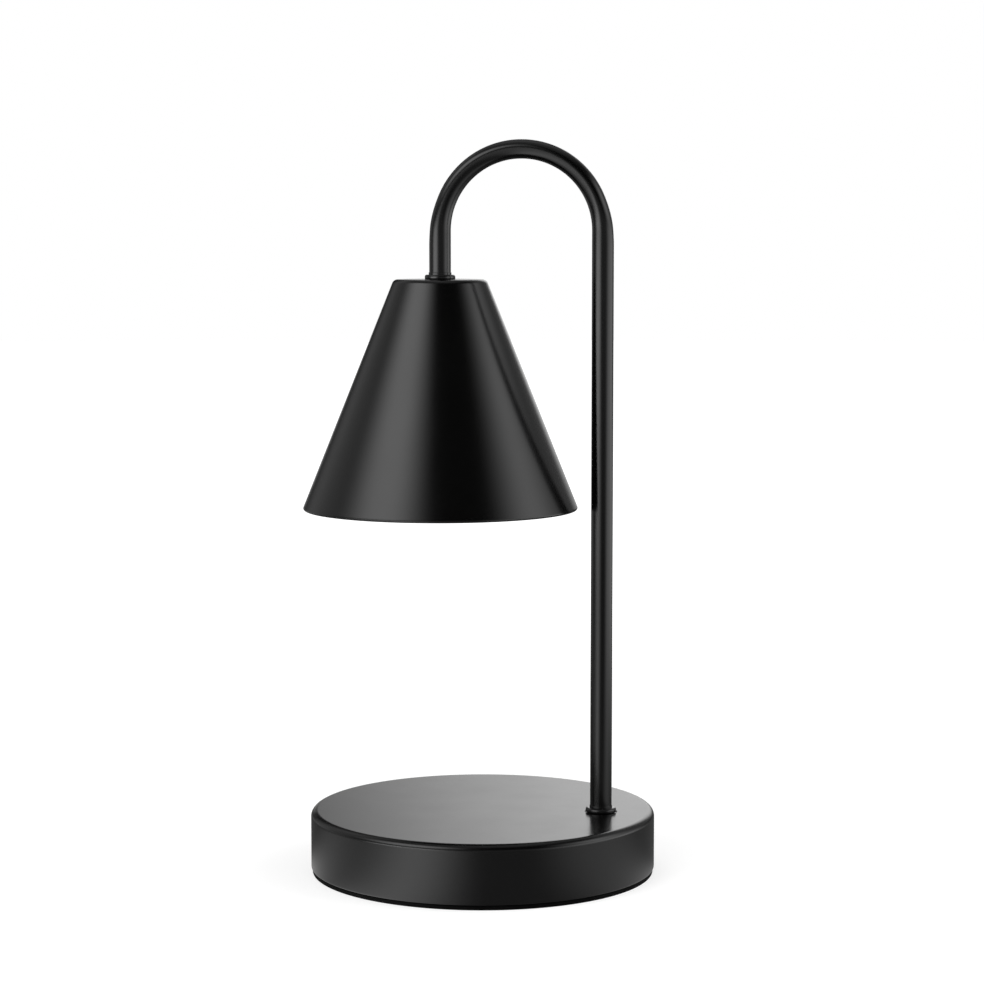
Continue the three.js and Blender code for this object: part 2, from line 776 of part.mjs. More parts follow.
// A pin's curved slot: narrow for the neck where it locks, round for the head where it goes in. The
// sign tells the two pins apart.
function keyhole(sign) {
  const fromZ = holderFace - overrun;
  const toZ = chamberFloor + gap;
  const locked = Math.PI / 2;
  const open = locked - radians(twistAngle);
  const half = pinRadius + gap;
  const shape = new THREE.Shape();
  shape.absarc(0, 0, pinOffset + half, open, locked);
  shape.absarc(0, pinOffset, half, locked, locked + Math.PI);
  shape.absarc(0, 0, pinOffset - half, locked, open, true);
  const x = pinOffset * Math.cos(open);
  const y = pinOffset * Math.sin(open);
  const entry = post(sign * x, sign * y, fromZ, toZ, pinHeadRadius + gap);
  return raised(shape, fromZ, toZ, { turn: turnOf(sign) }).add(entry);
}

// The room behind the face in which a pin's head travels under its contact.
function contactChamber(sign) {
  const clear = pinHeadRadius + gap;
  const open = Math.PI / 2 - radians(twistAngle);
  const left = -clear;
  const right = pinOffset * Math.cos(open) + clear;
  const low = pinOffset * Math.sin(open) - clear;
  const high = contactFace + contactThickness + gap;
  const shape = roundedRectangle((right - left) / 2, (high - low) / 2, chamberCorner);
  const middle = { x: (right + left) / 2, y: (high + low) / 2, turn: turnOf(sign) };
  return raised(shape, chamberFloor, holderTop + overrun, middle);
}

function holderBody() {
  const outline = roundedRectangle(holderHalfLength, holderHalfWidth, holderCorner);
  let body = raised(outline, holderFace, holderTop, { rounding: holderEdge });
  for (const sign of [1, -1]) {
    const screwX = sign * holderScrewX;
    body = body
      .subtract(contactChamber(sign))
      .subtract(keyhole(sign))
      .subtract(post(screwX, 0, holderFace - overrun, holderTop + overrun, screwRadius + gap))
      .subtract(
        post(screwX, 0, holderFace - overrun, holderFace + holderScrewSink, screwHeadRadius + gap),
      );
  }
  return body;
}

function holderCap() {
  const outline = roundedRectangle(holderHalfLength, holderHalfWidth, holderCorner);
  let cap = raised(outline, capTop - capThickness, capTop);
  for (const sign of [1, -1]) {
    const foot = capTop - capThickness - overrun;
    const top = capTop + overrun;
    cap = cap
      .subtract(post(sign * holderScrewX, 0, foot, top, screwRadius + gap))
      .subtract(post(0, sign * wireHole, foot, top, leadRadius + gap));
  }
  return cap;
}

// A contact: an upright against the chamber's wall, and a leaf over the head of the pin.
function contact() {
  const upright = contactFace + contactThickness / 2;
  const leaf = leafZ + contactThickness / 2;
  const strip = bentStrip(
    [at(upright, holderTop), at(upright, leaf), at(pinOffset - pinHeadRadius, leaf)],
    contactBend,
    contactThickness,
  );
  return drawnAlongY(strip, 0, contactWidth);
}

// The bulb's ceramic: a flatted cap with two pin holes, over a round skirt that holds the neck.
function bulbBase() {
  const shoulder = skirtFoot + skirtHeight;
  let ceramic = turned(
    [
      at(0, bulbTop),
      at(capRadius - skirtChamfer, bulbTop),
      at(capRadius, bulbTop - skirtChamfer),
      at(capRadius, shoulder),
      at(skirtRadius, shoulder - skirtChamfer),
      at(skirtRadius, skirtFoot),
      at(neckRadius + gap, skirtFoot),
      at(neckRadius + gap, shoulder),
      at(0, shoulder),
    ],
    bulbSides,
  );
  for (const sign of [1, -1]) {
    const flatFoot = point(sign * capHalfFlat, -skirtRadius, shoulder);
    const flatTop = point(sign * (capRadius + overrun), skirtRadius, bulbTop + overrun);
    const rootZ = bulbTop - pinRoot - gap;
    ceramic = ceramic
      .subtract(block(flatFoot, flatTop))
      .subtract(post(0, sign * pinOffset, rootZ, bulbTop + overrun, pinRadius + threadGap));
  }
  return ceramic;
}

function bulbPin(y) {
  const headZ = pinTip - pinHeadHeight;
  const profile = [
    at(0, bulbTop - pinRoot),
    at(pinRadius, bulbTop - pinRoot),
    at(pinRadius, headZ),
    at(pinHeadRadius, headZ),
    ...arc(
      pinHeadRadius - pinHeadRounding, pinTip - pinHeadRounding, pinHeadRounding, 0, 90, cornerSteps,
    ),
    at(0, pinTip),
  ];
  return turned(profile, thinSides, 0, y);
}

// A point of the reflector's bowl: an ellipse that is widest at the rim, thinned by a wall.
function bowlPoint(share, wall) {
  const radius = reflectorRadius - wall;
  const neck = neckRadius - wall;
  const full = reflectorDepth / Math.sqrt(1 - (neckRadius / reflectorRadius) ** 2) - wall;
  const start = Math.acos(neck / radius);
  const angle = THREE.MathUtils.lerp(0, start, share);
  return at(radius * Math.cos(angle), rimTop + full * Math.sin(angle));
}

function bulbReflector() {
  const shares = Array.from({ length: reflectorSteps + 1 }, (_, i) => i / reflectorSteps);
  const outside = shares.map((share) => bowlPoint(share, 0));
  const inside = shares.map((share) => bowlPoint(share, reflectorWall));
  const face = rimTop - rimHeight;
  const ledge = face + lensThickness + 2 * gap;
  const neckTop = skirtFoot + skirtHeight - gap;
  return turned(
    [
      at(rimRadius - rimWall, face),
      at(rimRadius, face),
      at(rimRadius, rimTop),
      ...outside,
      at(neckRadius, neckTop),
      at(neckRadius - reflectorWall, neckTop),
      ...inside.reverse(),
      at(reflectorRadius - reflectorWall, ledge),
      at(rimRadius - rimWall, ledge),
      at(rimRadius - rimWall, face),
    ],
    bulbSides,
  );
}

function bulbLens() {
  const face = rimTop - rimHeight + gap;
  const radius = rimRadius - rimWall - gap;
  return turned(
    [
      at(0, face),
      at(radius - gap, face),
      at(radius, face + gap),
      at(radius, face + lensThickness),
      at(0, face + lensThickness),
    ],
    bulbSides,
  );
}

// The burner inside the reflector: a glass finger with a domed end and a flat pinch in the neck.
function bulbCapsule() {
  const foot = skirtFoot + skirtHeight - gap;
  const tip = foot - capsuleLength;
  const pinch = capsuleLength / 3;
  const finger = turned(
    [
      at(0, foot),
      at(capsuleRadius, foot),
      ...arc(0, tip + capsuleRadius, capsuleRadius, 0, -90, cornerSteps),
    ],
    thinSides,
  );
  const half = capsuleRadius / 2;
  const low = foot - pinch;
  const reach = capsuleRadius + overrun;
  return finger
    .subtract(block(point(-reach, half, low), point(reach, reach, foot + overrun)))
    .subtract(block(point(-reach, -reach, low), point(reach, -half, foot + overrun)));
}

// The moulded block: a plate with a hump along each way and two screw towers on each hump.
function terminalBlock() {
  const waysX = [-wayPitch / 2, wayPitch / 2];
  const shape = new THREE.Shape();
  const plateFoot = blockTop - blockPlate;
  shape.moveTo(-blockPlateWidth / 2, blockTop);
  shape.lineTo(-blockPlateWidth / 2, plateFoot);
  for (const x of waysX) {
    shape.lineTo(x - wayRadius, plateFoot);
    shape.absarc(x, barrelZ, wayRadius, Math.PI, 2 * Math.PI);
    shape.lineTo(x + wayRadius, plateFoot);
  }
  shape.lineTo(blockPlateWidth / 2, plateFoot);
  shape.lineTo(blockPlateWidth / 2, blockTop);
  let moulding = drawnAlongY(shape, 0, blockLength);
  for (const x of waysX) {
    for (const y of [-towerSpread, towerSpread]) {
      moulding = moulding.add(post(x, y, towerFoot, barrelZ, towerRadius));
    }
  }
  for (const x of waysX) {
    const reach = blockLength / 2 + overrun;
    const from = point(x, -reach, barrelZ);
    moulding = moulding.subtract(bar(from, point(x, reach, barrelZ), barrelRadius + gap));
    for (const y of [-towerSpread, towerSpread]) {
      const hole = clampHeadRadius + gap;
      moulding = moulding.subtract(post(x, y, towerFoot - overrun, barrelZ, hole));
    }
  }
  const fixing = blockScrewRadius + gap;
  return moulding.subtract(post(0, 0, plateFoot - overrun, blockTop + overrun, fixing));
}

// A brass barrel with a bore for the wires and two tapped holes for its clamp screws.
function terminalBarrel() {
  const half = barrelLength / 2;
  let barrel = bar(point(0, -half, barrelZ), point(0, half, barrelZ), barrelRadius);
  const reach = half + overrun;
  barrel = barrel.subtract(bar(point(0, -reach, barrelZ), point(0, reach, barrelZ), barrelBore));
  for (const y of [-towerSpread, towerSpread]) {
    const hole = clampScrewRadius + threadGap;
    const foot = barrelZ - barrelRadius - overrun;
    barrel = barrel.subtract(post(0, y, foot, barrelZ, hole));
  }
  return barrel;
}

// The clamp screw's tip stops just under the wire in its barrel.
function clampScrew(y) {
  const tip = barrelZ - leadRadius - gap;
  return screw(0, y, towerFoot + gap, clampHead, clampScrewRadius, tip - towerFoot - gap);
}

// A lead as rings of points that stay square to its line, carried along without twist.
function lead(line) {
  let side = point(0, 1, 0);
  const rings = line.map((centre, i) => {
    const back = line[Math.max(i - 1, 0)];
    const on = line[Math.min(i + 1, line.length - 1)];
    const along = on.clone().sub(back).normalize();
    side = side.clone().sub(along.clone().multiplyScalar(side.dot(along))).normalize();
    const across = along.clone().cross(side);
    return Array.from({ length: leadSides }, (_, j) => {
      const angle = (2 * Math.PI * j) / leadSides;
      const reach = side.clone().multiplyScalar(leadRadius * Math.cos(angle));
      return reach.add(across.clone().multiplyScalar(leadRadius * Math.sin(angle))).add(centre);
    });
  });
  return loft(rings, false);
}

// The route of a lead: out of its barrel, round to the stem's nipple, through the crook and down
// to its contact. The sign tells the two leads apart.
function leadLine(sign) {
  const y = (sign * nippleBore) / 2; // midway between the axis and the wall
  const barrelX = blockX + (sign * wayPitch) / 2;
  const stemEnd = stemClampZ - nutStack - nippleShow;
  const shadeEnd = shadeClampZ - nutStack - nippleShow;
  const blockEnd = blockY - blockLength / 2;
  const inBarrel = point(barrelX, blockY, barrelZ);
  const atBlock = point(barrelX, blockEnd, barrelZ);
  const sweep = leadBend * (leadSweepShare + sign * leadSplayShare);
  const turnAt = point(barrelX + leadBend, y + sweep, barrelZ - leadRadius);
  const under = point(stemX, y, stemEnd - leadBend / 2);
  const before = point(stemX - leadBend, y, coverTop + leadBend / 2);
  const route = new THREE.CatmullRomCurve3([
    inBarrel,
    atBlock,
    turnAt,
    before,
    under,
    point(stemX, y, stemEnd + leadBend),
  ]);
  const crook = Array.from({ length: leadBendSteps + 1 }, (_, i) =>
    crookAt((180 * i) / leadBendSteps).centre.add(point(0, y, 0)),
  );
  const spread = new THREE.CubicBezierCurve3(
    point(shadeX, y, shadeEnd),
    point(shadeX, y, (shadeEnd + capTop) / 2),
    point(shadeX, sign * wireHole, (shadeEnd + capTop) / 2),
    point(shadeX, sign * wireHole, capTop),
  );
  return [
    ...route.getPoints(2 * leadBendSteps),
    ...crook,
    ...spread.getPoints(leadBendSteps / 2),
    point(shadeX, sign * wireHole, leafZ + contactThickness + gap),
  ];
}

// The base and what is inside it
const base = new THREE.Group();
base.add(
  piece("base_shell", baseShell(), "blackCoat"),
  piece("base_weight", baseWeight(), "castIron"),
  piece("base_cover", baseCover(), "zinc"),
  piece("foot_pad", footPad(), "foam"),
  piece("cord_grommet", cordGrommet(), "rubber"),
);
pillars.forEach(({ x, y }, i) => {
  const made = screw(x, y, shellFoot, sunkHead, screwRadius, coverScrewLength);
  base.add(piece(`cover_screw_${i + 1}`, made, "zinc"));
});

const terminals = new THREE.Group();
terminals.position.set(blockX, blockY, 0);
terminals.add(piece("terminal_block", terminalBlock(), "nylon"));
["live", "neutral"].forEach((wire, i) => {
  const way = new THREE.Group();
  way.position.x = (i ? -1 : 1) * (wayPitch / 2);
  way.add(
    piece(`terminal_barrel_${wire}`, terminalBarrel(), "brass"),
    piece(`terminal_screw_${2 * i + 1}`, clampScrew(-towerSpread), "zinc"),
    piece(`terminal_screw_${2 * i + 2}`, clampScrew(towerSpread), "zinc"),
  );
  terminals.add(way);
});
const plateScrewZ = blockTop - blockPlate - gap - blockScrewHeadHeight;
terminals.add(
  piece(
    "terminal_fixing_screw",
    screw(0, 0, plateScrewZ, blockHead, blockScrewRadius, blockTop + blockScrewGrip - plateScrewZ),
    "zinc",
  ),
);

// The stem, and what clamps it to the base
const stem = new THREE.Group();
const stemFoot = new THREE.Group();
stemFoot.position.x = stemX;
stemFoot.add(
  piece("base_collar", collar(seatZ + gap), "glossBlack"),
  piece("base_nipple", nipple(stemClampZ - nutStack - nippleShow, tubeFoot + nippleReach), "zinc"),
  piece("stem_washer", washer(stemClampZ), "zinc"),
  piece("stem_nut", nut(stemClampZ - washerThickness - gap), "zinc"),
);
stem.add(piece("stem_tube", stemTube(), "blackCoat"), stemFoot);

// The head hangs from the short leg: shade, lampholder and bulb
const head = new THREE.Group();
head.position.x = shadeX;
head.add(
  piece("shade_collar", collar(shadeTop - seatDepth + gap), "glossBlack"),
  piece("shade_nipple", nipple(shadeClampZ - nutStack - nippleShow, tubeTip + nippleReach), "zinc"),
  piece("shade", shadeCone(), "blackCoat"),
  piece("shade_washer", washer(shadeClampZ), "zinc"),
  piece("shade_nut", nut(shadeClampZ - washerThickness - gap), "zinc"),
  piece("holder_bracket", holderBracket(), "zinc"),
  piece("lampholder_body", holderBody(), "ceramic"),
  piece("lampholder_cap", holderCap(), "ceramic"),
);
["live", "neutral"].forEach((wire, i) => {
  const strip = piece(`contact_${wire}`, contact(), "brass");
  strip.rotation.z = Math.PI / 2 + Math.PI * i;
  const headZ = holderFace + holderScrewSink - gap - screwHeadHeight;
  const length = bracketTop - bracketHeight + bracketThickness + screwRadius / 2 - headZ;
  const made = screw(i ? -holderScrewX : holderScrewX, 0, headZ, panHead, screwRadius, length);
  head.add(strip, piece(`holder_screw_${i + 1}`, made, "zinc"));
});

const bulb = new THREE.Group();
bulb.add(
  piece("bulb_base", bulbBase(), "ceramic"),
  piece("bulb_pin_1", bulbPin(pinOffset), "zinc"),
  piece("bulb_pin_2", bulbPin(-pinOffset), "zinc"),
  piece("bulb_reflector", bulbReflector(), "mirror"),
  piece("bulb_lens", bulbLens(), "glass"),
  piece("bulb_capsule", bulbCapsule(), "glass"),
);
head.add(bulb);

const wiring = new THREE.Group();
wiring.add(
  piece("lead_live", lead(leadLine(1)), "brownLead"),
  piece("lead_neutral", lead(leadLine(-1)), "blueLead"),
);

const lamp = new THREE.Group();
lamp.add(base, terminals, stem, head, wiring);

export default lamp;
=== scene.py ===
# %% [markdown]
# # A lamp in satin black
# The lamp is a heavy round base, one steel tube that rises from it and bends over, and a cone that hangs
# from the tube over the middle of the base. A reflector bulb is locked in a ceramic holder inside the cone.
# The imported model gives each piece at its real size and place, as a faceted solid. This lesson gives the
# pieces smooth skins, real finishes and studio light. Blender works in metres here, so every size that is
# written in millimetres is multiplied by MM.

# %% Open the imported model
import math

import bmesh
import bpy
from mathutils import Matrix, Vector


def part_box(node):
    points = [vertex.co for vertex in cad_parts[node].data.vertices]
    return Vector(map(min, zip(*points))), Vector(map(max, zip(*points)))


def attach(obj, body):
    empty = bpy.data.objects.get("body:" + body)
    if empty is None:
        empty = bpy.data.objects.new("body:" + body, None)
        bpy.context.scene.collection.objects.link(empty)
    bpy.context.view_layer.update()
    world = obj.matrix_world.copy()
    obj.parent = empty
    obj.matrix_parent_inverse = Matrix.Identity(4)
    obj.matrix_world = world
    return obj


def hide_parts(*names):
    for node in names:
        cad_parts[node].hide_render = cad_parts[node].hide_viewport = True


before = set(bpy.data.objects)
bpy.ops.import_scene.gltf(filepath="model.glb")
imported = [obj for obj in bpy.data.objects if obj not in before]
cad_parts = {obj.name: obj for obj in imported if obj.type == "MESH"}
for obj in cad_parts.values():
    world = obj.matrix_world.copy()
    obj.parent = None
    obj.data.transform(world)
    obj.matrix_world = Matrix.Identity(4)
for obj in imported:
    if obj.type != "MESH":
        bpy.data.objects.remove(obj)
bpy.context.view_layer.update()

MM = 0.001

# %% [markdown]
# ## Sizes come from the model
# A smooth skin only fits if it takes its size from the solid that it stands for. The solids are turned
# with a limited number of sides, and each has a corner on the Y axis, so half its width along Y is its
# true radius.

# %% Measure the solids
def middle(node):
    low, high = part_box(node)
    return (low + high) / 2


def radius_of(node):
    low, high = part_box(node)
    return (high.y - low.y) / 2


def foot_of(node):
    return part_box(node)[0].z


def top_of(node):
    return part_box(node)[1].z


GAP = 0.3 * MM  # between two solids that touch
FOOT_INSET = 0.6 * MM  # from the pan's side to the foam foot's edge
base_radius = radius_of("foot_pad") + FOOT_INSET
stem_x = middle("base_collar").x
shade_x = middle("shade_collar").x
print("base radius", round(base_radius / MM, 1), "top of shade", round(top_of("shade") / MM, 1))
print("stem at", round(stem_x / MM, 2), "shade at", round(shade_x / MM, 2))

# %% [markdown]
# ## The camera
# The picture was taken with a long lens from a little more than a metre, slightly above the shade's top
# and ten degrees to the stem's side of the lamp. A long lens keeps the ellipses of base and shade flat
# and alike. The camera looks a few degrees down and has no shift.

# %% Place the camera
CAMERA_TURN = math.radians(10)
CAMERA_DISTANCE = 1186.3 * MM
CAMERA_HEIGHT = 281.3 * MM
CAMERA_PITCH = math.radians(5.443)
CAMERA_YAW = math.radians(0.2)
CAMERA_LENS = 99.32
CAMERA_SENSOR = 36


def add_object(name, data):
    added = bpy.data.objects.new(name, data)
    bpy.context.scene.collection.objects.link(added)
    return added


def make_camera():
    data = bpy.data.cameras.new("camera")
    data.lens = CAMERA_LENS
    data.sensor_width = CAMERA_SENSOR
    camera = add_object("camera", data)
    place = Vector((math.sin(CAMERA_TURN), -math.cos(CAMERA_TURN), 0)) * CAMERA_DISTANCE
    camera.location = place + Vector((0, 0, CAMERA_HEIGHT))
    heading = CAMERA_TURN - CAMERA_YAW
    level = Vector((-math.sin(heading), math.cos(heading), 0)) * math.cos(CAMERA_PITCH)
    look = level - Vector((0, 0, math.sin(CAMERA_PITCH)))
    camera.rotation_euler = look.to_track_quat("-Z", "Y").to_euler()
    bpy.context.scene.camera = camera
    return camera


camera = make_camera()
print("camera at", [round(v, 3) for v in camera.location])

# %% [markdown]
# ## Helpers for materials
# A finish is a small network of nodes. Four helpers keep the cells short: one puts a node into a tree and
# fills or links its inputs, one opens a node group with named sockets, one does a sum, and one makes a
# noise of a stated size. An effect that several finishes share is a group, built once and placed in each
# material with its own values.

# %% Put nodes into a tree
def put(tree, kind, inputs=None, **settings):
    node = tree.nodes.new(kind)
    for name, value in settings.items():
        setattr(node, name, value)
    for name, value in (inputs or {}).items():
        if isinstance(value, bpy.types.NodeSocket):
            tree.links.new(value, node.inputs[name])
        else:
            node.inputs[name].default_value = value
    return node


def open_group(name, inputs, outputs):
    group = bpy.data.node_groups.new(name, "ShaderNodeTree")
    for label, value in inputs.items():
        group.interface.new_socket(label, in_out="INPUT", socket_type="NodeSocketFloat").default_value = value
    for label in outputs:
        group.interface.new_socket(label, in_out="OUTPUT", socket_type="NodeSocketFloat")
    return group, group.nodes.new("NodeGroupInput").outputs, group.nodes.new("NodeGroupOutput").inputs


def math_node(tree, operation, first, second, clamp=False):
    node = put(tree, "ShaderNodeMath", {0: first, 1: second}, operation=operation, use_clamp=clamp)
    return node.outputs[0]


def sized_noise(group, size, detail):
    coords = put(group, "ShaderNodeTexCoord").outputs["Object"]
    scale = math_node(group, "DIVIDE", 1.0, size)
    noise = put(group, "ShaderNodeTexNoise", {"Vector": coords, "Scale": scale, "Detail": detail})
    return coords, scale, noise.outputs["Fac"]


# %% [markdown]
# ## Grain
# Powder coat, cast iron and moulded parts all have a fine grain. On the real object it comes from how the
# powder flows, or from the mould's wall. A noise texture in the object's own coordinates gives it at a
# stated size in metres, so it doesn't stretch or need an unwrapped mesh. The group gives a height for a
# bump node, and a mask that is sharper, for pores.

# %% The grain group
def grain_group():
    group, given, result = open_group("grain", {"Size": 0.5 * MM, "Detail": 2.0}, ["Height", "Pores"])
    coords, scale, noise = sized_noise(group, given["Size"], given["Detail"])
    cells = put(group, "ShaderNodeTexVoronoi", {"Vector": coords, "Scale": scale})
    group.links.new(noise, result["Height"])
    group.links.new(cells.outputs["Distance"], result["Pores"])
    return group


grain = grain_group()

# %% [markdown]
# ## Drift
# No coated surface is quite even: the spray leaves it a little duller here and a little deeper there,
# over a few centimetres. The eye reads this in the highlights. The group turns slow noise into a value
# between two limits, for a roughness or for mixing two colours.

# %% The drift group
NOISE_LOW, NOISE_HIGH = 0.3, 0.7  # the noise seldom leaves these


def drift_group():
    group, given, result = open_group("drift", {"Size": 25 * MM, "Low": 0.0, "High": 1.0}, ["Value"])
    noise = sized_noise(group, given["Size"], 3.0)[-1]
    limits = {1: NOISE_LOW, 2: NOISE_HIGH, 3: given["Low"], 4: given["High"]}
    spread = put(group, "ShaderNodeMapRange", {0: noise, **limits})
    group.links.new(spread.outputs[0], result["Value"])
    return group


drift = drift_group()

# %% [markdown]
# ## Edges
# Powder and plating thin out on an edge, and hands polish it. The bevel node looks a short way round each
# point. Where its rounded normal leaves the true one, there is an edge, and the mask is light. The mask is
# used faintly here, because the lamp is new.

# %% The edge group
def edge_group():
    group, given, result = open_group("edge", {"Width": 0.4 * MM, "Gain": 4.0}, ["Mask"])
    rounded = put(group, "ShaderNodeBevel", {"Radius": given["Width"]}, samples=4)
    true = put(group, "ShaderNodeNewGeometry").outputs["Normal"]
    likeness = put(
        group, "ShaderNodeVectorMath", {0: rounded.outputs["Normal"], 1: true}, operation="DOT_PRODUCT"
    )
    apart = math_node(group, "SUBTRACT", 1.0, likeness.outputs["Value"])
    mask = math_node(group, "MULTIPLY", apart, given["Gain"], clamp=True)
    group.links.new(mask, result["Mask"])
    return group


edge = edge_group()

# %% [markdown]
# ## Dust
# Dust lies only on what faces up, and unevenly. The group multiplies the upward part of the normal by a
# patchy noise. A trace of it keeps a black surface from looking like a hole in the picture.

# %% The dust group
DUST_START, DUST_FULL = 0.45, 0.75  # of the noise


def dust_group():
    group, given, result = open_group("dust", {"Size": 6 * MM, "Amount": 0.1}, ["Mask"])
    noise = sized_noise(group, given["Size"], 6.0)[-1]
    patches = put(group, "ShaderNodeMapRange", {0: noise, 1: DUST_START, 2: DUST_FULL})
    normal = put(group, "ShaderNodeNewGeometry").outputs["Normal"]
    up = put(group, "ShaderNodeSeparateXYZ", {0: normal}).outputs["Z"]
    facing = math_node(group, "MAXIMUM", up, 0.0)
    lying = math_node(group, "MULTIPLY", facing, patches.outputs[0])
    mask = math_node(group, "MULTIPLY", lying, given["Amount"], clamp=True)
    group.links.new(mask, result["Mask"])
    return group


dust = dust_group()

# %% [markdown]
# ## From groups to a finish
# Most finishes below are put together in the same way. A material is opened, groups are placed in it with
# their own values, and masks mix its colours. Then the roughness drifts, and a height gives the bump.

# %% Open a material and mix its colours
def open_material(name):
    material = bpy.data.materials.new(name)
    material.use_nodes = True
    tree = material.node_tree
    return material, tree, tree.nodes["Principled BSDF"]


def use(tree, group, output, **values):
    node = put(tree, "ShaderNodeGroup", node_tree=group)
    for name, value in values.items():
        node.inputs[name].default_value = value
    return node.outputs[output]


def blend_colours(tree, mask, first, second):
    node = put(tree, "ShaderNodeMix", {"Factor": mask}, data_type="RGBA")
    for socket, colour in ((node.inputs[6], first), (node.inputs[7], second)):
        if isinstance(colour, bpy.types.NodeSocket):
            tree.links.new(colour, socket)
        else:
            socket.default_value = (*colour, 1)
    return node.outputs[2]


def vary_roughness(tree, shader, size, low, high):
    tree.links.new(use(tree, drift, "Value", Size=size, Low=low, High=high), shader.inputs["Roughness"])


def bump(tree, shader, height, depth):
    node = put(tree, "ShaderNodeBump", {"Height": height, "Distance": depth, "Strength": 1.0})
    tree.links.new(node.outputs["Normal"], shader.inputs["Normal"])


# %% [markdown]
# ## Satin black powder coat
# Base, tube and shade are steel under one coat of satin black. Of the light that goes into the coat, only
# about a thousandth comes back. What the eye sees is its sheen, the soft mirror image of what stands round
# the lamp. So the colour is very dark, the roughness is rather low and drifts a little, and a
# half-millimetre orange peel breaks the mirror image up.

# %% Satin black
COAT_DEEP = (0.0006, 0.0006, 0.00062)
COAT_PALE = (0.001, 0.001, 0.00103)
COAT_EDGE = (0.005, 0.005, 0.0051)
DUST_TONE = (0.2, 0.195, 0.185)


def satin_black():
    material, tree, shader = open_material("satin_black_coat")
    tone = use(tree, drift, "Value", Size=30 * MM)
    body = blend_colours(tree, tone, COAT_DEEP, COAT_PALE)
    worn = blend_colours(tree, use(tree, edge, "Mask", Width=0.5 * MM, Gain=2.0), body, COAT_EDGE)
    dusty = blend_colours(tree, use(tree, dust, "Mask", Size=5 * MM, Amount=0.004), worn, DUST_TONE)
    tree.links.new(dusty, shader.inputs["Base Color"])
    vary_roughness(tree, shader, 22 * MM, 0.205, 0.23)
    shader.inputs["IOR"].default_value = 1.5
    bump(tree, shader, use(tree, grain, "Height", Size=0.55 * MM, Detail=2.0), 0.004 * MM)
    return material


coat = satin_black()

# %% [markdown]
# ## Gloss black lacquer
# The two small collars shine more than the rest: they are dipped in lacquer, not powdered. Their black is a
# trace lighter and its roughness is lower, which gives the thin highlights that run round them.

# %% Gloss black
def gloss_black():
    material, tree, shader = open_material("gloss_black_lacquer")
    tone = use(tree, drift, "Value", Size=4 * MM)
    body = blend_colours(tree, tone, (0.003, 0.003, 0.003), (0.005, 0.005, 0.0052))
    tree.links.new(body, shader.inputs["Base Color"])
    vary_roughness(tree, shader, 3 * MM, 0.12, 0.17)
    bump(tree, shader, use(tree, grain, "Height", Size=1.2 * MM), 0.004 * MM)
    return material


lacquer = gloss_black()

# %% [markdown]
# ## Foam and rubber
# The lamp stands on a disc of closed-cell foam: a dull black skin full of tiny open cells, cut by a die.
# The ring round the cord hole is moulded rubber, smoother and a little greyer, with a faint bloom. Both
# get their surface from the pore output of the grain group, at different sizes.

# %% Foam and rubber
FOAM_SPECULAR = 0.15  # open cells trap most of the sheen


def porous(name, deep, pale, cell, depth, roughness):
    material, tree, shader = open_material(name)
    pores = use(tree, grain, "Pores", Size=cell)
    tree.links.new(blend_colours(tree, pores, deep, pale), shader.inputs["Base Color"])
    vary_roughness(tree, shader, 8 * MM, *roughness)
    bump(tree, shader, pores, depth)
    return material


foam = porous("black_foam", (0.001, 0.001, 0.001), (0.004, 0.004, 0.004), 0.35 * MM, 0.12 * MM, (0.9, 1.0))
foam.node_tree.nodes["Principled BSDF"].inputs["Specular IOR Level"].default_value = FOAM_SPECULAR
rubber = porous(
    "moulded_rubber", (0.014, 0.014, 0.014), (0.024, 0.024, 0.023), 0.8 * MM, 0.01 * MM, (0.5, 0.65)
)

# %% [markdown]
# ## Metals
# Zinc plate is a soft silver with a cold and a warm tinge, brass is yellow and dulls in patches, and the
# weight is iron as it left the sand. One function makes them and the filament's tungsten: two colours that
# drift, a roughness range, edges that are brighter, and a grain.

# %% Zinc, brass, iron and tungsten
def metal(name, first, second, bright, roughness, cell, depth, metallic=1.0):
    material, tree, shader = open_material(name)
    tone = use(tree, drift, "Value", Size=5 * MM)
    body = blend_colours(tree, tone, first, second)
    worn = blend_colours(tree, use(tree, edge, "Mask", Width=0.25 * MM, Gain=3.0), body, bright)
    tree.links.new(worn, shader.inputs["Base Color"])
    shader.inputs["Metallic"].default_value = metallic
    vary_roughness(tree, shader, 3 * MM, *roughness)
    bump(tree, shader, use(tree, grain, "Height", Size=cell, Detail=4.0), depth)
    return material


zinc = metal(
    "zinc_plate", (0.5, 0.52, 0.55), (0.6, 0.58, 0.52), (0.75, 0.75, 0.74), (0.25, 0.42), 0.3 * MM, 0.003 * MM
)
brass = metal(
    "dull_brass", (0.62, 0.42, 0.16), (0.76, 0.56, 0.24), (0.85, 0.68, 0.38), (0.22, 0.4), 0.3 * MM,
    0.003 * MM,
)
iron = metal(
    "cast_iron_skin", (0.07, 0.07, 0.072), (0.11, 0.1, 0.095), (0.16, 0.16, 0.16), (0.55, 0.8), 1.2 * MM,
    0.12 * MM, 0.6,
)
tungsten = metal(
    "tungsten_wire", (0.2, 0.2, 0.21), (0.28, 0.27, 0.26), (0.4, 0.4, 0.4), (0.3, 0.5), 0.1 * MM, 0.001 * MM
)

# %% [markdown]
# ## Ceramic and nylon
# The holder and the bulb's foot are unglazed steatite, a warm white stone-like ceramic with fine pores and
# grey rubs. The terminal block is natural nylon, which is creamy and a little waxy.

